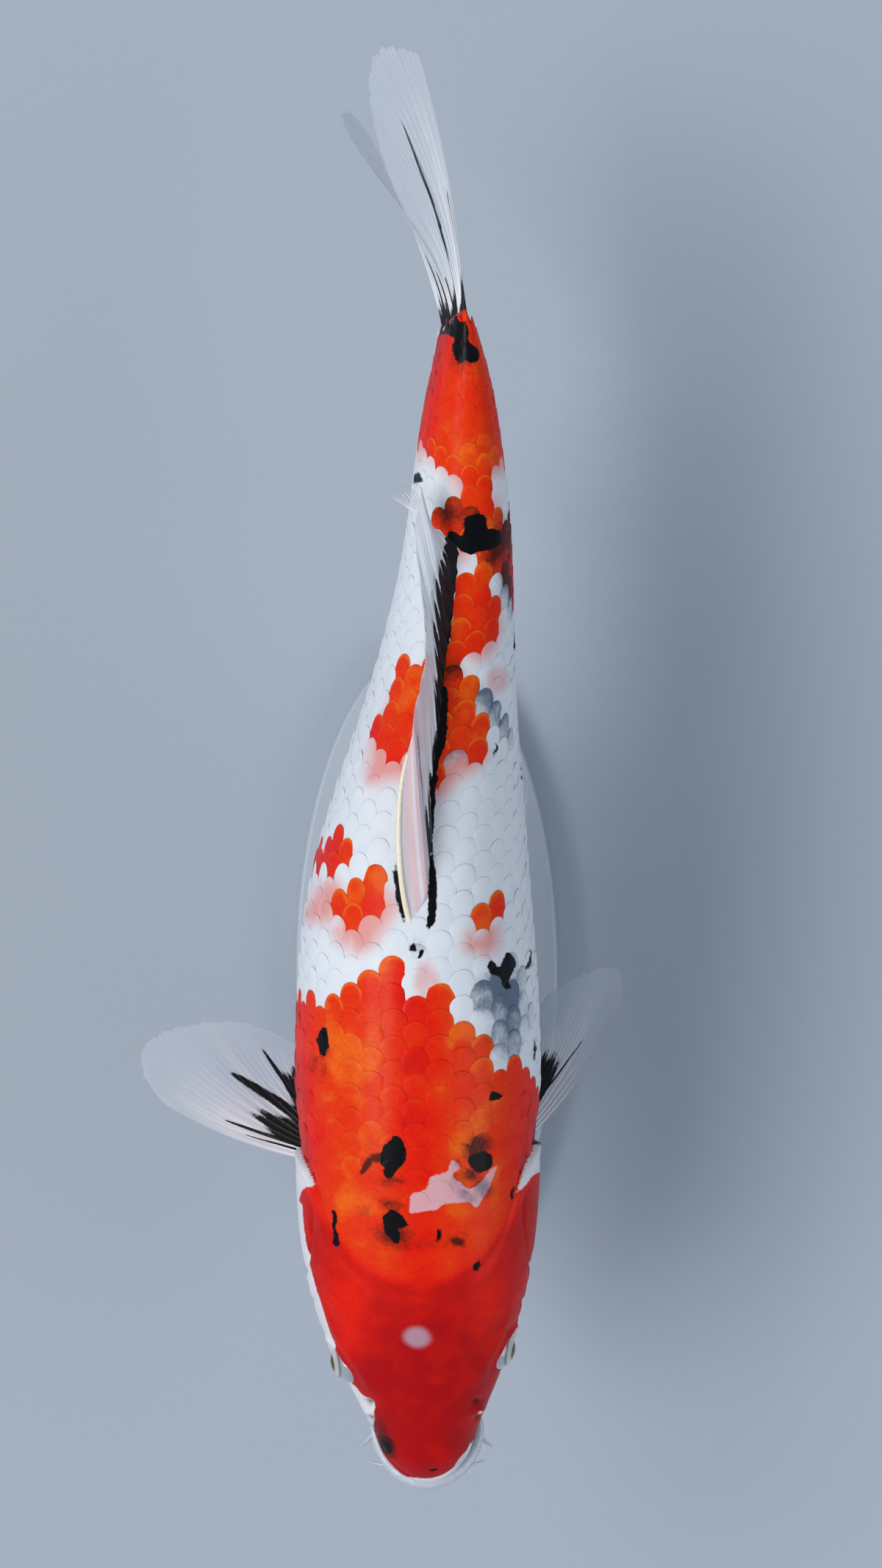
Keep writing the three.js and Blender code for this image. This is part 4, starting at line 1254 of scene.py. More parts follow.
# every other row is shifted by half a scale
index = index.ravel() + 0.5 * (scale_row % 2)
scale_at = np.interp(index, np.arange(len(steps_at)), steps_at)
scale_arc = scale_row * row_spacing(scale_at)
scale_at += rng.normal(0, UNEVEN_AT, scale_at.shape)
scale_arc += rng.normal(0, UNEVEN_ARC, scale_arc.shape)
scale_turn = turn_at(scale_at, scale_arc)
scale_aside, scale_height = section(scale_at, scale_turn)
scale_behind, _ = line_distance(HEAD_EDGE, cover_at(scale_at, scale_aside), scale_height)
keep = (scale_behind > NAPE_TUCK) & (scale_at < SCALE_STOP)
keep &= np.abs(scale_arc) < half_girth(scale_at) - 0.3 * row_spacing(scale_at)
scale_at, scale_arc, scale_turn = scale_at[keep], scale_arc[keep], scale_turn[keep]
scale_behind, scale_row = scale_behind[keep], scale_row[keep]
scale_on_side = smooth(scale_height[keep], 40, 28)
print(f"{len(scale_at)} scales in {len(set(scale_row))} rows")

# %% The outline of one plate, as rings round its middle
# u runs towards the tail and v round the body, in shares of the pitch and of the row spacing
PLATE_RINGS = (0.28, 0.52, 0.74, 0.9, 0.97, 1.0)
PLATE_SPOKES = 26
REAR_REACH = 0.64
FRONT_REACH = 0.9
PLATE_HALF_WIDTH = 0.64
# the underside is a little smaller than the top
UNDER_SHARE = 0.985
spokes = np.arange(PLATE_SPOKES) / PLATE_SPOKES * 2 * math.pi
reach = np.where(np.cos(spokes) > 0, REAR_REACH, FRONT_REACH)
rim_u = reach * np.cos(spokes)
rim_v = PLATE_HALF_WIDTH * np.sin(spokes)
plate_u = np.concatenate([[0.0], np.outer(PLATE_RINGS, rim_u).ravel()])
plate_v = np.concatenate([[0.0], np.outer(PLATE_RINGS, rim_v).ravel()])
plate_ring = np.append(0.0, np.repeat(PLATE_RINGS, PLATE_SPOKES))
top_count = len(plate_u)
plate_u = np.concatenate([plate_u, rim_u * UNDER_SHARE, [0.0]])
plate_v = np.concatenate([plate_v, rim_v * UNDER_SHARE, [0.0]])
plate_ring = np.concatenate([plate_ring, np.ones(PLATE_SPOKES), [0.0]])
plate_under = np.zeros(len(plate_u))
plate_under[top_count:] = 1.0
print(f"{len(plate_u)} points in a scale")

# %% The faces of one plate
plate_quads = grid_quads(len(PLATE_RINGS), PLATE_SPOKES, wrap=True, first=1)
outer = 1 + (len(PLATE_RINGS) - 1) * PLATE_SPOKES
spoke = np.arange(PLATE_SPOKES)
next_spoke = (spoke + 1) % PLATE_SPOKES
rim_quads = np.stack(
    [outer + spoke, outer + next_spoke, top_count + next_spoke, top_count + spoke], -1
)
plate_quads = np.concatenate([plate_quads, rim_quads])[:, ::-1]
top_fan = np.stack([np.zeros(PLATE_SPOKES, int), 1 + spoke, 1 + next_spoke], -1)
under_fan = top_count + np.stack([np.full(PLATE_SPOKES, PLATE_SPOKES), next_spoke, spoke], -1)
plate_fans = np.concatenate([top_fan, under_fan])
print(f"{2 * len(plate_quads) + len(plate_fans)} triangles in a scale")


# %% How a plate stands on the body
# all in mm, except the slope, which is mm of rise for each mm towards the tail
PLATE_REST = -0.30
PLATE_SLOPE = 0.028
PLATE_CROWN = 0.14
PLATE_THICKNESS = 0.17
RIM_DROP = 0.10
# the row of pores that runs along the middle of each flank
LATERAL_ROW = 9
PORE_HEIGHT = 0.30
# next to the head the scales are bedded in skin: how deep, and how far back from its edge
BED_DEPTH = -0.62
BED_ON_TOP = 42.0
BED_ON_SIDE = 8.0


def plate_rise(chosen, u, slant):
    """How far each point of each plate lies over the plain body."""
    crown = PLATE_CROWN * (plate_v[None, :] / PLATE_HALF_WIDTH) ** 2
    rise = PLATE_REST + PLATE_SLOPE * u - crown + slant
    rise -= RIM_DROP * smooth(plate_ring[None, :], 0.86, 1.0)
    rise -= PLATE_THICKNESS * plate_under[None, :]
    pore = hump(plate_v, 0.05) * smooth(plate_u, -0.3, 0.0) * smooth(plate_u, 0.62, 0.4)
    on_line = np.abs(scale_row[chosen]) == LATERAL_ROW
    rise += PORE_HEIGHT * on_line[:, None] * (pore * (1 - plate_under))[None, :]
    bed_reach = lerp(BED_ON_TOP, BED_ON_SIDE, scale_on_side[chosen][:, None])
    bedded = smooth(scale_behind[chosen][:, None], bed_reach, 0.3 * bed_reach)
    return lerp(rise, BED_DEPTH + 0.3 * (rise - PLATE_REST), bedded)


print(f"a scale is {PLATE_THICKNESS} mm thick and its rear edge stands free")


# %% What a plate looks like
# the fine streaks of a plate fan out from a point this many pitches in front of its middle
FAN_POINT = 1.1


def plate_values(at, turn, at0, decided, own):
    """The markings of each plate. Past the nape each plate is wholly red or wholly white."""
    count = len(at0)
    choice = decided["red"] + own.normal(0, 0.4, count)
    choice = np.where(choice < 0, np.minimum(choice, -0.9), np.maximum(choice, 0.9))
    spread = spread_at(at, turn)
    marks = markings(at, spread)
    as_skin = smooth(at0, 158, 148)
    whole = decided["grey"][:, None] * (0.75 + 0.25 * smooth(plate_ring, 0.3, 1.0)[None, :])
    whole *= own.uniform(0.7, 1.2, (count, 1))
    ones = np.ones(at.shape)
    return {
        **marks,
        "red": lerp(choice[:, None], marks["red"], as_skin),
        "grey": lerp(lerp(marks["grey"], whole, 0.6), marks["grey"], as_skin),
        "warm": warmth(at, spread) + own.normal(0, 0.05, (count, 1)),
        "hollow": 0 * ones,
        "rim": smooth(plate_ring, 0.62, 1.0) * smooth(plate_u, -0.1, 0.25) * ones,
        # painted shade on the front of each plate, just behind the rim of the plate ahead
        "tuck_shade": smooth(plate_u, 0.15, -0.42) * ones,
        "edge": smooth(choice, 8.0, 1.0)[:, None] * (1 - as_skin) * ones,
        "fan": np.arctan2(plate_v, plate_u + FAN_POINT) * ones,
    }


print("each scale asks the map what colour its middle has")

# %% Bend the plates onto the body
# the share of the skin's unwrap that one plate takes, and the place it is judged by
PLATE_ON_MAP = 0.003
MIDDLE_OF_PLATE = 0.12


def lay_scales(name, chosen):
    """Joins the chosen scales into one mesh."""
    at0 = scale_at[chosen][:, None]
    arc0 = scale_arc[chosen][:, None]
    count = len(at0)
    own = np.random.default_rng(int(abs(at0).sum()) % 1000)
    size = own.normal(1.0, 0.025, (count, 1))
    lean = own.normal(0, 0.012, (count, 1))
    roll = own.normal(0, 0.010, (count, 1))
    pitch = SCALE_PITCH(at0) * size
    u = plate_u[None, :] * pitch
    v = plate_v[None, :] * (row_spacing(at0) * size)
    at = np.minimum(at0 + u, BODY_LENGTH + 1.0)
    turn = turn_at(at, arc0 + v)
    rise = plate_rise(chosen, u, lean * u + roll * v)
    points = surface_point(at, turn, 1.0) + surface_normal(at, turn, 1.0) * rise[..., None]
    middle_at = (at0 + MIDDLE_OF_PLATE * pitch)[:, 0]
    decided = markings(middle_at, spread_at(middle_at, turn_at(middle_at, arc0[:, 0])))
    values = plate_values(at, turn, at0, decided, own)
    first = np.arange(count)[:, None, None] * len(plate_u)
    quads = (first + plate_quads[None]).reshape(-1, 4)
    fans = (first + plate_fans[None]).reshape(-1, 3)
    root = skin_map(at0[:, 0], scale_turn[chosen])
    shape = np.stack([plate_v / PLATE_HALF_WIDTH, plate_u / FRONT_REACH], -1)
    plate_uv = (root[:, None, :] + (shape * PLATE_ON_MAP / 2)[None]).reshape(-1, 2)
    uv = plate_uv[np.concatenate([quads.ravel(), fans.ravel()])]
    add_piece(name, points.reshape(-1, 3), quads, fans, SCALE_MATERIAL, (), values, uv)


# the back, the flanks and the belly, by the share of the way from the ridge down
BACK_SHARE = 0.34
BELLY_SHARE = 0.72
MIDDLE_OF_BACK = 245.0
share_down = np.abs(scale_arc) / half_girth(scale_at)
back_part = share_down < BACK_SHARE
belly_part = share_down > BELLY_SHARE
flank_part = ~back_part & ~belly_part
fore_part = scale_at < MIDDLE_OF_BACK
lay_scales("scales_back_front", back_part & fore_part)
lay_scales("scales_back_rear", back_part & ~fore_part)
lay_scales("scales_left_flank", flank_part & (scale_arc > 0))
lay_scales("scales_right_flank", flank_part & (scale_arc < 0))
lay_scales("scales_belly", belly_part)

# %% [markdown]
# ## Lips, barbels and eyes
# A carp's mouth is a soft tube with two rolled lips, and two pairs of barbels hang from
# its corners. The lips are rolls along a bow, fullest at the front. The barbels are
# tapering rods. The eye is a ball that sits in the socket: a black pupil, a thin gold
# ring, a pale iris that darkens to its edge, and a clear bulge over it all.


# %% Tubes along a line
CAP_RINGS = 5
# the end points stand this far out from the last rings
TIP_REACH = 0.02


def tube(line, radius, sides, tallness=1.0):
    """Points and faces of a closed tube with round ends. radius is one number per point."""
    line = np.asarray(line, float)
    tangent = unit(np.gradient(line, axis=0))
    aside = unit(np.cross(tangent, [0.0, 0.0, 1.0]))
    rise = np.cross(aside, tangent)
    turn = np.arange(sides) / sides * 2 * math.pi
    cap = [k / (CAP_RINGS + 0.5) * math.pi / 2 for k in range(1, CAP_RINGS + 1)]
    rows = [(0, -math.sin(angle), math.cos(angle)) for angle in reversed(cap)]
    rows += [(i, 0.0, 1.0) for i in range(len(line))]
    rows += [(len(line) - 1, math.sin(angle), math.cos(angle)) for angle in cap]
    points = []
    for i, shift, share in rows:
        centre = line[i] + tangent[i] * shift * radius[i]
        ring = radius[i] * share
        points.append(
            centre
            + aside[i] * (ring * np.cos(turn))[:, None]
            + rise[i] * (ring * tallness * np.sin(turn))[:, None]
        )
    points = np.array(points)
    start = points[0].mean(0) - tangent[0] * TIP_REACH
    stop = points[-1].mean(0) + tangent[-1] * TIP_REACH
    quads = grid_quads(len(rows), sides, wrap=True)
    points = np.concatenate([points.reshape(-1, 3), [start, stop]])
    return points, quads, end_fans(len(rows), sides)


def join(parts):
    """Joins several (points, quads, triangles) into one."""
    points, quads, triangles = [], [], []
    first = 0
    for part_points, part_quads, part_triangles in parts:
        points.append(part_points)
        quads.append(np.asarray(part_quads).reshape(-1, 4) + first)
        triangles.append(np.asarray(part_triangles).reshape(-1, 3) + first)
        first += len(part_points)
    return np.concatenate(points), np.concatenate(quads), np.concatenate(triangles)


print(f"{CAP_RINGS} rings round off each end of a tube")

# %% The lips
# the mouth is pushed out a little further on the left
UPPER_LIP = {"front": 1.0, "corner": 25, "left": 23.0, "right": 21.3, "height": -9.6,
             "drop": -3.6, "radius": 3.4}
LOWER_LIP = {"front": 4.0, "corner": 24, "left": 19.0, "right": 18.6, "height": -16.6,
             "drop": -0.4, "radius": 2.7}
LIP_STEPS = 73
LIP_SIDES = 24
LIP_RELIEF = 0.2
LIP_RAMP = [(0.25, (0.36, 0.42, 0.51)), (0.55, (0.46, 0.50, 0.57)), (0.8, (0.49, 0.47, 0.51))]


def lip_roll(lip):
    """A roll from one corner of the mouth to the other, fullest in front, a little uneven."""
    bow = np.linspace(-0.5, 0.5, LIP_STEPS) * math.pi
    aside = np.where(bow > 0, lip["left"], lip["right"])
    line = place(
        lip["corner"] - (lip["corner"] - lip["front"]) * np.cos(bow),
        aside * np.sin(bow),
        lip["height"] + lip["drop"] * np.sin(bow) ** 2,
    )
    share = np.linspace(0, 1, LIP_STEPS)
    fullness = 0.45 + 0.55 * np.sin(math.pi * share) ** 0.8
    unevenness = 0.965 + 0.03 * np.sin(share * 61) * np.sin(math.pi * share)
    return tube(line, lip["radius"] * fullness * unevenness, LIP_SIDES, tallness=1.1)


lip_material, lip_tree, lip_shader = new_material(
    "soft_lip", Roughness=0.36, Coat_Weight=0.3, Coat_Roughness=0.15
)
lip_colour = ramp(lip_tree, noise(lip_tree, 2.2, 3.0), LIP_RAMP)
lip_tree.links.new(lip_colour, lip_shader.inputs["Base Color"])
bump(lip_tree, lip_shader, noise(lip_tree, 0.9, 2.0), LIP_RELIEF)
points, quads, fans = join([lip_roll(UPPER_LIP), lip_roll(LOWER_LIP)])
add_piece("lips", points, quads, fans, lip_material, ("upper_lip",))

# %% The barbels
BARBELS = {
    "front": {"root": (9, 12.5, -12.5), "bow": (7.5, 18, -11), "tip": (8.5, 24, -14),
              "radius": 0.9},
    "rear": {"root": (22, 19.5, -16), "bow": (16, 24.5, -19), "tip": (12.5, 27.5, -25),
             "radius": 1.2},
}
BARBEL_SIDES = 14
SIDES = {"left": 1, "right": -1}
for word, side in SIDES.items():
    for pair, shape in BARBELS.items():
        knots = np.array([shape["root"], shape["bow"], shape["tip"]], float)
        path = smooth_line(knots * [1, side, 1], False, 16)
        line = place(*path.T)
        share = np.linspace(0, 1, len(line))
        taper = 1 - 0.6 * share
        knobs = 1 + 0.05 * np.sin(share * 70)
        points, quads, fans = tube(line, shape["radius"] * taper * knobs, BARBEL_SIDES)
        name = f"barbel_{pair}_{word}"
        add_piece(name, points, quads, fans, lip_material, (name,))

# %% The look of an eye
# in degrees round the ball, from the middle of the pupil
PUPIL = 20.5
GOLD_RING = 23.5
RING_BLUR = 0.8
# the iris from the gold ring out to the white of the eye, as shares of IRIS_SPAN
IRIS_SPAN = 60.0
IRIS_RAMP = [
    (0.36, (0.40, 0.34, 0.24)), (0.48, (0.52, 0.52, 0.48)), (0.60, (0.48, 0.51, 0.56)),
    (0.66, (0.16, 0.18, 0.22)), (0.71, (0.20, 0.22, 0.27)), (0.80, (0.42, 0.46, 0.53)),
]
IRIS_SHADE = (0.02, 0.022, 0.03)
IRIS_GOLD = (0.50, 0.34, 0.12)
PUPIL_BLACK = (0.001, 0.001, 0.0015)


def eye_colour(tree, shader):
    """A black pupil, a gold ring and a pale iris with fine fibres, darker at its top."""
    off_axis = attribute(tree, "off_axis")
    fibre = maths(tree, "MULTIPLY_ADD", noise(tree, 0.9, 3.0), 3.0, off_axis)
    top_shade = between(tree, attribute(tree, "upward"), 0.1, 0.75)
    iris = ramp(tree, maths(tree, "DIVIDE", fibre, IRIS_SPAN), IRIS_RAMP)
    iris = mix_colour(tree, times(tree, top_shade, 0.35), iris, IRIS_SHADE)
    past_pupil = between(tree, off_axis, PUPIL, PUPIL + RING_BLUR)
    before_iris = between(tree, off_axis, GOLD_RING + RING_BLUR, GOLD_RING)
    ring_share = times(tree, past_pupil, before_iris)
    iris = mix_colour(tree, times(tree, ring_share, 0.8), iris, IRIS_GOLD)
    in_pupil = between(tree, off_axis, PUPIL + RING_BLUR, PUPIL - RING_BLUR / 2)
    iris = mix_colour(tree, in_pupil, iris, PUPIL_BLACK)
    tree.links.new(iris, shader.inputs["Base Color"])


eye_material, eye_tree, eye_shader = new_material(
    "eye", Roughness=0.18, Coat_Weight=1.0, Coat_Roughness=0.02, IOR=1.38
)
eye_colour(eye_tree, eye_shader)
print(f"the pupil is {2 * EYE['radius'] * math.sin(math.radians(PUPIL)):.1f} mm across")

# %% The eyes
EYE_PITCH = math.radians(12.0)
EYE_TOE = math.radians(8.0)
EYE_ROWS = 56
EYE_COLUMNS = 64
# the clear bulge stands out over the ball, which is a little smaller than its socket
BALL_INSET = 0.25
BULGE = 0.35
BULGE_WIDTH = 26.0


def eye_centre(side):
    """The middle of the ball, sunk into the head so that only EYE["proud"] stands out."""
    at = EYE["at"] + side * EYE["turn"]
    level = widest_level(at)
    up = math.asin(((EYE["height"] - level) / (back_height(at) - level)) ** (ROUNDNESS / 2))
    surface = half_width(at) * power(math.cos(up))
    return place(at, side * (surface + EYE["proud"] - EYE["radius"]), EYE["height"])


def eye_ball():
    """The ball of the left eye round its own axis, as rings, with the angle from the axis."""
    angle, around = np.meshgrid(
        np.linspace(0.02, math.pi - 0.02, EYE_ROWS),
        np.arange(EYE_COLUMNS) / EYE_COLUMNS * 2 * math.pi,
        indexing="ij",
    )
    degrees_off = np.degrees(angle)
    bulge = BULGE * hump(degrees_off, BULGE_WIDTH)
    out = [np.cos(angle), np.sin(angle) * np.cos(around), np.sin(angle) * np.sin(around)]
    return (EYE["radius"] - BALL_INSET + bulge)[..., None] * np.stack(out, -1), degrees_off


def make_eye(word, side):
    """Turns the ball outward, a little forward and up, and sets it into its socket."""
    ball, degrees_off = eye_ball()
    axis = unit(np.array([
        math.cos(EYE_PITCH) * math.cos(EYE_TOE), -math.sin(EYE_TOE), math.sin(EYE_PITCH),
    ]))
    level_way = unit(np.cross([0.0, 0.0, 1.0], axis))
    up_way = np.cross(axis, level_way)
    turned = ball[..., :1] * axis + ball[..., 1:2] * level_way + ball[..., 2:] * up_way
    mirror = np.array([side, 1, 1])
    front_end = axis * (EYE["radius"] + 0.1)
    rear_end = -axis * EYE["radius"]
    points = np.concatenate([turned.reshape(-1, 3), [front_end, rear_end]]) * mirror
    quads = grid_quads(EYE_ROWS, EYE_COLUMNS, wrap=True)[:, ::-side]
    fans = end_fans(EYE_ROWS, EYE_COLUMNS)[:, ::-side]
    values = {
        "off_axis": np.append(degrees_off.ravel(), [0, 180]),
        "upward": np.append(ball[..., 2].ravel() / EYE["radius"], [0, 0]),
    }
    add_piece(f"eye_{word}", eye_centre(side) + points, quads, fans, eye_material,
              (f"eye_{word}",), values)


for word, side in SIDES.items():
    make_eye(word, side)

# %% [markdown]
# ## Fins
# A fin is a fan of bony rays with a thin clear skin between them. Each soft ray splits
# in two, and near the edge in two again, so the fin stays even as it widens. A flat
# sheet with a picture of rays would look right from above only, so the rays here are
# ridges on both sides of a closed sheet, and the skin between them is thinner and lets
# light through. The black that flows from the root follows the rays.


# %% The pattern of rays
def ray_height(across, along, rays, width=0.17):
    """1 on a ray and 0 between the rays, with each ray split in two and then in four."""
    cell = np.mod(across * rays, 1.0) - 0.5
    first_split = 0.235 * smooth(along, 0.36, 0.62)
    second_split = 0.115 * smooth(along, 0.62, 0.9)
    strand = np.abs(np.abs(np.abs(cell) - first_split) - second_split)
    return hump(strand, lerp(width, width * 0.34, smooth(along, 0.2, 0.95)))


print(f"height on one of ten rays: {ray_height(0.05, 0.0, 10):.2f}")

# %% Stand a closed sheet on a surface
# a fin ends a little inside the solid of the frame
FIN_TRIM = 0.985
NORMAL_STEP = 0.004
# near the root the rays meet in a point, so a direction is taken from further out
OFF_ROOT = 0.02


def sheet_normal(surface, across, along):
    """The direction straight out of the sheet."""
    off_root = np.maximum(along, OFF_ROOT)
    wide = surface(np.minimum(across + NORMAL_STEP, 1), off_root)
    wide = wide - surface(np.maximum(across - NORMAL_STEP, 0), off_root)
    long = surface(across, np.minimum(along + NORMAL_STEP, 1))
    long = long - surface(across, np.maximum(along - NORMAL_STEP, 0))
    return unit(np.cross(wide, long))


def sheet_quads(rows, wide):
    """The faces of a closed sheet: its upper and lower side and its four narrow edges."""
    count = rows * wide
    upper = grid_quads(rows, wide)
    lower = upper[:, ::-1] + count
    r = np.arange(rows - 1)
    s = np.arange(wide - 1)
    root = np.stack([r * wide, (r + 1) * wide, count + (r + 1) * wide, count + r * wide], -1)
    tip = root[:, ::-1] + wide - 1
    front = np.stack([s + 1, s, count + s, count + s + 1], -1)
    rear = front[:, ::-1] + (rows - 1) * wide
    return np.concatenate([upper, lower, root, tip, front, rear])


print(f"a closed sheet of 3 x 3 points has {len(sheet_quads(3, 3))} quads")

# %% One recipe for all fins
# half the thickness of the clear skin in mm, and how deep and close the joints of a ray are
HALF_SHEET = 0.10
JOINT_DEPTH = 0.06
JOINTS = 150
# how uneven the outer edge is, as a share of a ray's length
FRAYED = 0.012


def make_fin(name, surface, rays, root_flesh, black, seed, extra=None, columns=16, steps=64,
             pleat=0.0, ridge=0.42, notch=0.012, plain=None, veil=0.4, soft_rays=0.0):
    """A closed sheet over surface(across, along) with rays in relief on both sides.
    root_flesh, pleat and ridge are in mm. plain tells where the rays give way to smooth skin,
    and soft_rays above 0 makes the rays broad and blurs them away from the root. veil is how
    clear the tip is, and below 0 the tip is denser than the root."""
    across_line = np.linspace(0, 1, rays * columns + 1)
    along_line = np.linspace(0, 1, steps + 1) ** 0.9
    across, along = np.meshgrid(across_line, along_line, indexing="ij")
    strand_tip = ray_height(across, np.ones_like(across), rays)
    if callable(notch):
        notch = notch(across)
    ragged = notch * (1 - strand_tip) + FRAYED * lumps(across * 40, along * 0, 1.0, seed)
    reach = along * (FIN_TRIM - np.clip(ragged, 0, 0.3) * smooth(along, 0.5, 1.0))
    normal = sheet_normal(surface, across, reach)
    wave = 0.5 * lumps(across * 5, along * 2.2, 1.0, seed + 1) * smooth(along, 0.15, 0.7)
    fold = pleat * (np.abs(np.mod(across * rays, 2.0) - 1.0) * 2 - 1) * smooth(along, 0.02, 0.3)
    strand = ray_height(across, along, rays)
    if plain:
        smoothed = plain(across, along)
        strand = strand * (1 - 0.85 * smoothed)
        fold = fold * (1 - smoothed)
    middle = surface(across, reach) + normal * (wave + fold)[..., None]
    broad = ray_height(across, along, rays, soft_rays) if soft_rays else strand
    far_ridge = 0.08 if soft_rays else 0.3
    joints = 1 + JOINT_DEPTH * np.sin(along * JOINTS) * smooth(along, 0.15, 0.4)
    edge = np.minimum(1, np.minimum(across, 1 - across) * rays * 2.5)
    thick = HALF_SHEET + ridge * strand * lerp(1.0, far_ridge, along**0.7) * joints
    thick = thick * lerp(0.35, 1.0, edge) + root_flesh * smooth(along, 0.2, 0.0) ** 1.5
    relief = normal * thick[..., None]
    points = np.concatenate([(middle + relief).reshape(-1, 3), (middle - relief).reshape(-1, 3)])
    streak = 0.5 + 0.5 * lumps(across * rays * 0.9, along * 2.5, 1.0, seed + 3)
    values = {
        "ray": broad * lerp(1.0, far_ridge, smooth(along, 0.15, 0.75)),
        "along": along,
        "streak": streak * lerp(1.0, 0.4, smooth(along, 0.4, 1.0)),
        "veil": veil * smooth(along, 0.1, 1.0),
        "black": black(across, along, strand),
        "blush": np.zeros_like(along),
    }
    for key, function in (extra or {}).items():
        values[key] = function(across, along)
    values = {key: np.tile(value.ravel(), 2) for key, value in values.items()}
    add_piece(name, points, sheet_quads(*across.shape), [], FIN_MATERIAL, (name,), values)


# %% What a fin looks like
RAY_WHITE = (0.80, 0.80, 0.83)
MEMBRANE = (0.52, 0.58, 0.68)
BLUSH = (0.70, 0.43, 0.45)
FIBRE_GRAIN = 1.2
FIBRE_RELIEF = 0.05


def fin_material():
    """Clear skin between pale rays. see is how dense each place is, from 0 to 1."""
    material, tree, shader = new_material(
        "fin", Roughness=0.45, Specular_IOR_Level=0.25, Coat_Weight=0.08, Coat_Roughness=0.25
    )
    ray = attribute(tree, "ray")
    along = attribute(tree, "along")
    blush = attribute(tree, "blush")
    streak = attribute(tree, "streak")
    cloud = noise(tree, BROAD_CLOUD, 3.0)
    fibre = noise(tree, FIBRE_GRAIN, 3.0)
    body = mix_colour(tree, ray, MEMBRANE, RAY_WHITE)
    pale = times(tree, between(tree, streak, 0.2, 0.9), 0.6)
    body = mix_colour(tree, pale, body, RAY_WHITE)
    body = mix_colour(tree, times(tree, blush, 0.9), body, BLUSH)
    ink = between(tree, stirred(tree, attribute(tree, "black"), fibre, 0.6), 0.25, 0.75)
    body = mix_colour(tree, ink, body, INK)
    tree.links.new(body, shader.inputs["Base Color"])
    see = maths(tree, "MULTIPLY_ADD", ray, 0.30, 0.38)
    for value, amount in (
        (between(tree, cloud, 0.3, 0.75), 0.08), (between(tree, streak, 0.25, 0.9), 0.16),
        (between(tree, along, 0.6, 0.0), 0.42), (attribute(tree, "veil"), -0.30), (blush, 0.4),
    ):
        see = maths(tree, "MULTIPLY_ADD", value, amount, see)
    see = maths(tree, "MULTIPLY_ADD", ink, 0.5, see, clamp=True)
    tree.links.new(see, shader.inputs["Alpha"])
    bump(tree, shader, fibre, FIBRE_RELIEF)
    return material


FIN_MATERIAL = fin_material()
print("made the fin material")


# %% Black ink along the rays
def inked_root(reach_knots, reach, streaks=()):
    """Black that flows from the root. reach tells how far it flows, across the fin.
    A streak runs from one place across the fin to another, and from one share of the
    ray to another, and gets narrower on the way."""

    def black(across, along, strand):
        flow = np.interp(across, reach_knots, reach)
        flow = flow + 0.045 * lumps(across * 34, along * 0, 1.0, 7) * (flow > 0.05)
        amount = smooth(flow - along, -0.08, 0.08) * (flow > 0.02)
        for first, last, wide, start, stop in streaks:
            run = np.clip((along - start) / (stop - start), 0, 1)
            line = smooth(np.abs(across - lerp(first, last, run)) / lerp(wide, wide * 0.15, run),
                          1.4, 0.6)
            line = line * smooth(along, stop + 0.04, stop - 0.04) * (along >= start - 0.02)
            amount = np.maximum(amount, line)
        return amount - 0.25 * strand * smooth(along, 0.1, 0.3)

    return black


print(f"full ink near the root: {inked_root([0, 1], [0.5, 0.5])(0.5, 0.1, 0.0):.1f}")


# %% The paired fins
def paired_fin(fin, side):
    """Rays that fan out from a short root and curve backwards."""
    reach = spline(fin["reach_at"], fin["reach"])
    root = np.array(fin["root"], float)

    def surface(across, along):
        across, along = np.broadcast_arrays(across, along)
        angle = np.radians(fin["lead"] + fin["fan"] * across)
        length = reach(across) * along
        sag = fin["curl"] * reach(across) * (along - along**2)
        out = length * np.cos(angle) + sag * np.sin(angle)
        aft = length * np.sin(angle) - sag * np.cos(angle)
        at = lerp(root[0, 0], root[1, 0], across)
        aside = lerp(root[0, 1], root[1, 1], across)
        height = lerp(root[0, 2], root[1, 2], across)
        drop = fin["drop"] * along + fin["rear_drop"] * across * along
        start = place(at, side * aside, height)
        return start + np.stack([side * out, aft, -drop], -1)

    return surface


PECTORAL = {
    "reach_at": [0, 0.1, 0.25, 0.4, 0.6, 0.8, 1],
    "reach": [80, 94, 95, 83, 65, 45, 31],
    "root": [(129, 35, -45), (143, 36, -51)],
}
PECTORAL_RIGHT = {**PECTORAL, "lead": 19, "fan": 58, "curl": 0.22, "drop": 6, "rear_drop": 4}
PECTORAL_LEFT = {**PECTORAL, "lead": 52, "fan": 36, "curl": 0.22, "drop": 2, "rear_drop": 14}
PELVIC = {
    "reach_at": [0, 0.15, 0.4, 0.7, 1],
    "reach": [54, 61, 56, 43, 30],
    "root": [(243, 13, -66), (252, 10, -67)],
    "fan": 34, "curl": 0.12, "drop": 16, "rear_drop": 4,
}
PELVIC_LEFT = {**PELVIC, "lead": 50}
PELVIC_RIGHT = {**PELVIC, "lead": 65}
RIGHT_INK = inked_root(
    [0, 0.13, 0.15, 0.18, 0.21, 0.26, 0.34, 0.39, 0.44, 0.5, 0.585, 0.61, 0.64, 0.7, 0.86, 1],
    [0, 0, 0.26, 0.31, 0.39, 0.43, 0.37, 0.3, 0.28, 0.31, 0.42, 0.56, 0.65, 0.68, 0.72, 0.5],
    [(0.53, 0.375, 0.095, 0.2, 0.67), (0.17, 0.105, 0.026, 0.2, 0.56),
     (0.11, 0.07, 0.016, 0.2, 0.46), (0.64, 0.605, 0.035, 0.45, 0.82)],
)
LEFT_INK = inked_root(
    [0, 0.24, 0.28, 0.33, 0.4, 0.5, 0.6, 0.8, 1],
    [0, 0, 0.40, 0.52, 0.56, 0.58, 0.56, 0.54, 0.5],
    [(0.33, 0.2, 0.02, 0.25, 0.66)],
)


def root_blush(across, along):
    """The rays are a little pink where the blood runs in."""
    return 0.16 * smooth(along, 0.75, 0.25)


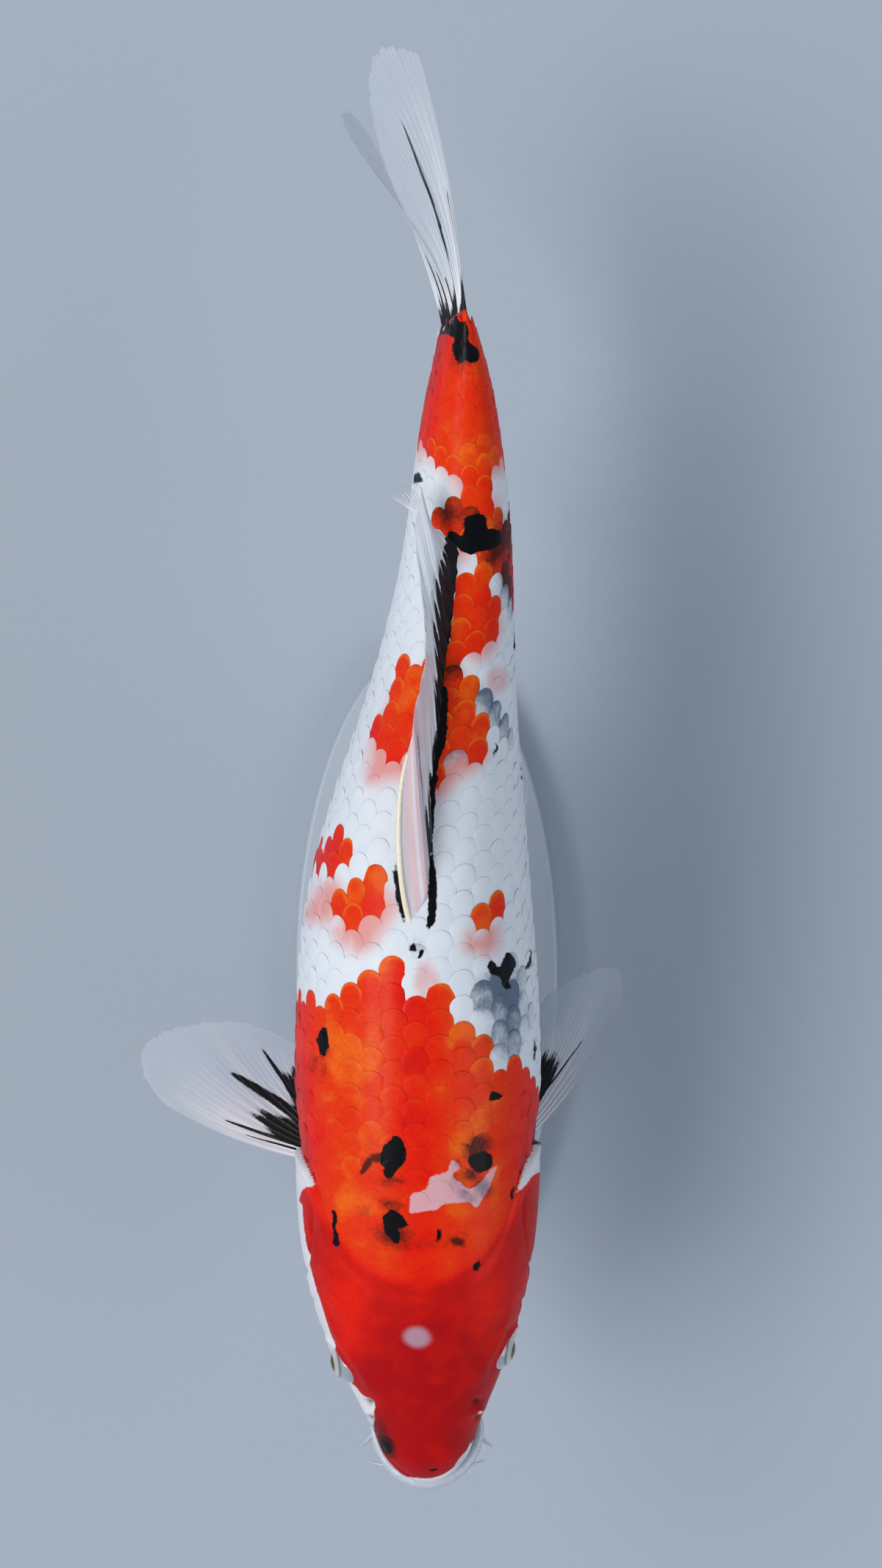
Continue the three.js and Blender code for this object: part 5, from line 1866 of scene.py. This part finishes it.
make_fin("pectoral_fin_right", paired_fin(PECTORAL_RIGHT, -1), 16, 1.3, RIGHT_INK, 11,
         {"blush": root_blush}, veil=0.0, soft_rays=0.26)
make_fin("pectoral_fin_left", paired_fin(PECTORAL_LEFT, 1), 16, 1.3, LEFT_INK, 12,
         {"blush": root_blush}, veil=-0.2, soft_rays=0.26)
PELVIC_INK = inked_root([0, 0.3, 0.6, 1], [0.0, 0.12, 0.2, 0.15], [(0.5, 0.5, 0.03, 0.0, 0.45)])
make_fin("pelvic_fin_right", paired_fin(PELVIC_RIGHT, -1), 9, 1.0, PELVIC_INK, 13)
make_fin("pelvic_fin_left", paired_fin(PELVIC_LEFT, 1), 9, 1.0, PELVIC_INK, 14)

# %% The anal fin
ANAL = {
    "start": 370, "end": 400, "root_depth": 3,
    "along": [0, 0.2, 0.5, 0.8, 1], "reach": [58, 60, 48, 34, 27], "lead": 46, "fan": -22,
}
anal_reach = spline(ANAL["along"], ANAL["reach"])


def anal_surface(across, along):
    across, along = np.broadcast_arrays(across, along)
    at = lerp(ANAL["start"], ANAL["end"], across)
    angle = np.radians(ANAL["lead"] + ANAL["fan"] * across)
    length = anal_reach(across) * along
    root = belly_height(at) + ANAL["root_depth"]
    return place(at + length * np.cos(angle), np.zeros_like(at), root - length * np.sin(angle))


make_fin("anal_fin", anal_surface, 7, 0.9, inked_root([0, 0.4, 1], [0.0, 0.16, 0.1]), 15,
         columns=18)

# %% [markdown]
# ## The tail fin
# The tail is forked, with the longest rays near the outer edges. It sweeps to one side
# with the last beat of the tail, so from above it shows as two narrow blades. Each lobe
# is its own sheet, because the frame has them as two solids. Long black streaks follow
# the rays from the root.

# %% The two lobes
TAIL = {
    "root": -8, "root_height": 27, "out": [0, 0.3, 0.6, 0.85, 1], "lean": 0.15,
    "sweep": 0.0015, "cup": 0.0055, "gap": 0.3,
}
TAIL_LOBES = {
    "upper": {"reach": [44, 66, 90, 105, 99], "height": 60, "twist": 0.0012},
    "lower": {"reach": [44, 64, 87, 100, 94], "height": -68, "twist": 0.0004},
}


def tail_surface(lobe):
    reach = spline(TAIL["out"], lobe["reach"])
    way = math.copysign(1, lobe["height"])

    def surface(across, along):
        across, along = np.broadcast_arrays(across, along)
        behind = lerp(TAIL["root"], reach(across), along)
        root_height = TAIL["gap"] + TAIL["root_height"] * across
        end_height = TAIL["gap"] + abs(lobe["height"]) * across**1.3
        height = way * lerp(root_height, end_height, along**0.85)
        base = place(BODY_LENGTH, 0.0, 0.0)
        past = np.maximum(behind, 0)
        bend = (TAIL["sweep"] + TAIL["cup"] * (1 - across)) * past**2 + TAIL["lean"] * past
        x = base[0] - bend + (ROLL[0] + lobe["twist"] * past) * height
        return np.stack([x, base[1] + behind, base[2] + height], -1)

    return surface


TAIL_INK = {
    "upper": inked_root([0, 0.3, 0.45, 0.6, 0.75, 0.9, 1], [0.22, 0.26, 0.2, 0.1, 0.06, 0.12, 0.2],
                        [(0.42, 0.66, 0.05, 0.0, 0.70), (0.60, 0.71, 0.034, 0.45, 0.80),
                         (0.12, 0.16, 0.07, 0.0, 0.42), (0.93, 0.95, 0.03, 0.0, 0.52)]),
    "lower": inked_root([0, 0.5, 1], [0.24, 0.22, 0.16],
                        [(0.5, 0.55, 0.08, 0.0, 0.46), (0.2, 0.25, 0.05, 0.0, 0.5)]),
}
for word, lobe in TAIL_LOBES.items():
    make_fin(f"tail_fin_{word}", tail_surface(lobe), 10, 1.1, TAIL_INK[word], 21, steps=72,
             ridge=0.5, veil=0.75)

# %% [markdown]
# ## The back fin
# The fish has folded its back fin, and it lies over to the right. In front is a stiff
# saw-edged spine, cream coloured, and behind it a leaf of skin, pink with grey edges and
# two pale rays, partly a painted highlight. The soft rays lie in pleats over each other and
# end in a small white tuft. At its foot the fin is black, and white rays cross the black.

# %% The folded sheet
DORSAL = {
    "start": 233, "end": 386, "root_depth": 3,
    "along": [0, 0.08, 0.3, 0.5, 0.7, 0.86, 1],
    "tip_at": [306, 316, 341, 369, 398, 413, 410],
    "tip_aside": [-10, -12.5, -12.5, -18, -23, -22, -35],
    "tip_rise": [17, 19, 13, 11, 9, 6, -5],
    "root_aside": [0, 0, 0, 0, -2.6, -3, -1],
    "arch": 5,
    "spine_bow": 6.3,
    "leaf_bulge": 4.4,
    "leaf_rise": 1.2,
    "line_rise": 0.3,
}
# places across the fin: where the leaf ends, and its two thin rays
LEAF_END = 0.13
LEAF_LINES = (0.042, 0.1)
dorsal_at, dorsal_aside, dorsal_rise, dorsal_root = [
    spline(DORSAL["along"], DORSAL[key])
    for key in ("tip_at", "tip_aside", "tip_rise", "root_aside")
]
# how far from the mid line the black foot of the fin reaches, down the body
FOOT_LINE = spline([250, 300, 318, 342, 366, 384, 400], [-2, -1.6, -4, -8.4, -12.2, -11.6, -8])


def dorsal_surface(across, along):
    across, along = np.broadcast_arrays(across, along)
    at = lerp(DORSAL["start"], DORSAL["end"], across)
    root = place(at, dorsal_root(across), back_height(at) - DORSAL["root_depth"])
    end = dorsal_at(across)
    tip = place(end, dorsal_aside(across), back_height(end) + dorsal_rise(across))
    point = lerp(root, tip, along[..., None])
    point[..., 2] += DORSAL["arch"] * 4 * (along - along**2)
    bow = (4 * np.clip(along - along**2, 0, 1)) ** 0.6 * smooth(across, 0.06, 0.0)
    bulge = (1 - along) ** 0.8 * smooth(along, 0.0, 0.12) * smooth(across, 0.0, 0.06)
    bulge = bulge * smooth(across, 0.34, 0.2)
    point[..., 0] += DORSAL["leaf_bulge"] * bulge - DORSAL["spine_bow"] * bow
    middle_of_leaf = hump(across - LEAF_END / 2, LEAF_END / 3.2)
    lines = sum(hump(across - line, 0.007) for line in LEAF_LINES)
    swell = DORSAL["leaf_rise"] * middle_of_leaf + DORSAL["line_rise"] * lines
    point[..., 2] += swell * np.sin(math.pi * along)
    return point


top_of_fin = dorsal_surface(0.0, np.linspace(0, 1, 21))[:, 2].max()
print(f"the folded fin rises to {top_of_fin:.0f} mm over the floor")


# %% The markings of the back fin
def leaf_share(across, along):
    """1 on the smooth pink leaf of skin behind the spine."""
    return smooth(across, LEAF_END + 0.012, LEAF_END - 0.012) * smooth(along, 0.02, 0.1)


def leaf_rays_and_highlight(across):
    """Two thin pale rays stand in the leaf, the front one clearer. Their paleness is partly a
    painted highlight on the ridges they raise.
    """
    front, rear = LEAF_LINES
    return hump(across - front, 0.005) + 0.5 * hump(across - rear, 0.006)


def leaf_blush(across, along):
    """The leaf is pink in its middle and grey along both edges."""
    middle = smooth(across, 0.016, 0.032) * smooth(across, 0.098, 0.08)
    leaf = leaf_share(across, along) * lerp(0.12, 0.66, middle)
    return leaf * (1 - leaf_rays_and_highlight(across)) + 0.2 * smooth(across, 0.3, 0.15)


def leaf_light(across, along):
    """The pale rays of the leaf, partly a painted highlight, and the pale tuft at the rear."""
    leaf = leaf_share(across, along)
    return leaf * leaf_rays_and_highlight(across) + (1 - leaf) * lerp(0.5, 1.0, smooth(across, 0.8, 0.9))


def dorsal_ink(across, along, strand):
    """Black at the foot of the fin, which white rays cross, and a dark rim along the leaf's rear
    edge, partly black and partly painted shade.
    """
    point = dorsal_surface(across, along * FIN_TRIM)
    at = point[..., 1] - SNOUT_Y
    aside = point[..., 0] - swing(at) - roll_at(at) * (point[..., 2] - AXIS_HEIGHT)
    depth = aside - FOOT_LINE(at) + 0.8 * lumps(across * 50, along * 0, 1.0, 7)
    behind_leaf = smooth(across, LEAF_END - 0.01, LEAF_END + 0.03)
    foot = smooth(depth, -0.4, 1.0) * behind_leaf
    white_rays = strand * smooth(along, 0.12, 0.3) * smooth(depth, 5.0, 0.5)
    # partly painted shade: a dark line just behind the leaf's rear edge
    rear_rim_and_shade = 0.8 * hump(across - LEAF_END - 0.006, 0.009)
    rims = rear_rim_and_shade * smooth(along, 0.02, 0.12) * smooth(along, 0.96, 0.8)
    return np.maximum(foot - 0.75 * white_rays, rims)


def tuft_notch(across):
    """The hindmost rays stand apart at their tips."""
    return lerp(0.004, 0.28, smooth(across, 0.86, 0.93))


make_fin("dorsal_fin", dorsal_surface, 20, 0.9, dorsal_ink, 21,
         {"blush": leaf_blush, "streak": leaf_light}, steps=60, pleat=0.3, ridge=0.34,
         notch=tuft_notch, plain=leaf_share, veil=-0.4)

# %% The saw-edged spine
SPINE_RADIUS = (1.2, 0.65)
SPINE_STEPS = 121
SPINE_SIDES = 14
# the spine lies a little low in the front edge of the fin
SPINE_SINK = 0.2
SAW_TEETH = 26
SAW_HEIGHT = 0.22
spine_share = np.linspace(0, FIN_TRIM, SPINE_STEPS)
spine_line = dorsal_surface(np.zeros(SPINE_STEPS), spine_share) - [0, 0, SPINE_SINK]
saw = SAW_HEIGHT * np.mod(spine_share * SAW_TEETH, 1.0) * smooth(spine_share, 0.3, 0.5)
spine_radius = lerp(*SPINE_RADIUS, spine_share) * (1 + saw)
spine_material, spine_tree, spine_shader = new_material(
    "cream_spine", Roughness=0.3, Specular_IOR_Level=0.4, Coat_Weight=0.3, Coat_Roughness=0.1
)
dye(spine_tree, spine_shader, noise(spine_tree, 5.0, 2.0), (0.72, 0.62, 0.42), (0.80, 0.76, 0.66))
points, quads, fans = tube(spine_line, spine_radius, SPINE_SIDES)
add_piece("dorsal_spine", points, quads, fans, spine_material, ())

# %% [markdown]
# ## The stand
# A museum holds such a model on two thin rods over a flat base, so that it seems to
# swim. The base is pale lacquered wood, an oval plate with a rounded edge. The rods are
# brushed steel, each in a small collar.

# %% The base
STAND = {"length": 300.0, "thickness": 12.0, "edge": 2.0, "rod_radius": 4.0,
         "rods": {"front": 140.0, "rear": 262.0}}


def turned_disc(profile, half_x, half_y, middle, sides):
    """A closed oval turned from a profile of (inset from the rim, height)."""
    turn = np.arange(sides) / sides * 2 * math.pi
    rows = [
        np.stack([
            middle[0] + (half_x - inset) * np.cos(turn),
            middle[1] + (half_y - inset) * np.sin(turn),
            np.full(sides, height),
        ], -1)
        for inset, height in profile
    ]
    ends = [[*middle, profile[0][1]], [*middle, profile[-1][1]]]
    points = np.concatenate([*rows, ends])
    return points, grid_quads(len(rows), sides, wrap=True), end_fans(len(rows), sides)


def rounded_profile(low, high, edge):
    """A side wall with a rounded lower and upper edge."""
    quarter = np.linspace(0, math.pi / 2, 5)
    lower = [(edge * (1 - math.sin(a)), low + edge * (1 - math.cos(a))) for a in quarter]
    upper = [(edge * (1 - math.cos(a)), high - edge * (1 - math.sin(a))) for a in quarter]
    return lower + upper


base_material, base_tree, base_shader = new_material(
    "pale_lacquer", Roughness=0.45, Coat_Weight=0.15, Coat_Roughness=0.3
)
base_grain = noise(base_tree, 5.0, 5.0, 0.6)
dye(base_tree, base_shader, base_grain, (0.33, 0.38, 0.45), (0.35, 0.40, 0.47))
bump(base_tree, base_shader, base_grain, 0.05)
points, quads, fans = turned_disc(
    rounded_profile(0.0, STAND["thickness"], STAND["edge"]),
    STAND_WIDTH / 2, STAND["length"] / 2, (0.0, 0.0), 160,
)
add_piece("stand_base", points, quads, fans, base_material, ("stand_base",))

# %% The rods and their collars
steel, steel_tree, steel_shader = new_material("brushed_steel", Metallic=1.0, Roughness=0.3)
brushing = noise(steel_tree, 1.5, 4.0)
dye(steel_tree, steel_shader, brushing, (0.50, 0.51, 0.53), (0.62, 0.63, 0.65))
steel_tree.links.new(maths(steel_tree, "MULTIPLY_ADD", brushing, 0.25, 0.2),
                     steel_shader.inputs["Roughness"])
COLLAR = {"radius": 8.5, "height": 5.0, "edge": 1.2}
ROD_EDGE = 0.8
# each rod goes a little into the base below it and into the fish above it
INTO_BASE = 1.0
INTO_FISH = 2.0
for word, at in STAND["rods"].items():
    name = f"stand_rod_{word}"
    middle = (float(swing(at)), SNOUT_Y + at)
    rod_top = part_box(name)[1].z / MM + INTO_FISH
    rod = turned_disc(
        rounded_profile(STAND["thickness"] - INTO_BASE, rod_top, ROD_EDGE),
        STAND["rod_radius"], STAND["rod_radius"], middle, 48,
    )
    collar = turned_disc(
        rounded_profile(STAND["thickness"], STAND["thickness"] + COLLAR["height"], COLLAR["edge"]),
        COLLAR["radius"], COLLAR["radius"], middle, 64,
    )
    points, quads, fans = join([rod, collar])
    add_piece(name, points, quads, fans, steel, (name,))

# %% [markdown]
# ## The size
# Both boxes, of the frame and of the dressed model, are printed, so that they
# can be compared after each change. The dressed model may not outgrow the frame.

# %% Print the two boxes and finish
visual_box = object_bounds()
for label, box in (("frame", CAD_BOX), ("dressed", visual_box)):
    print(label, [[round(v * 1000, 1) for v in corner] for corner in box])
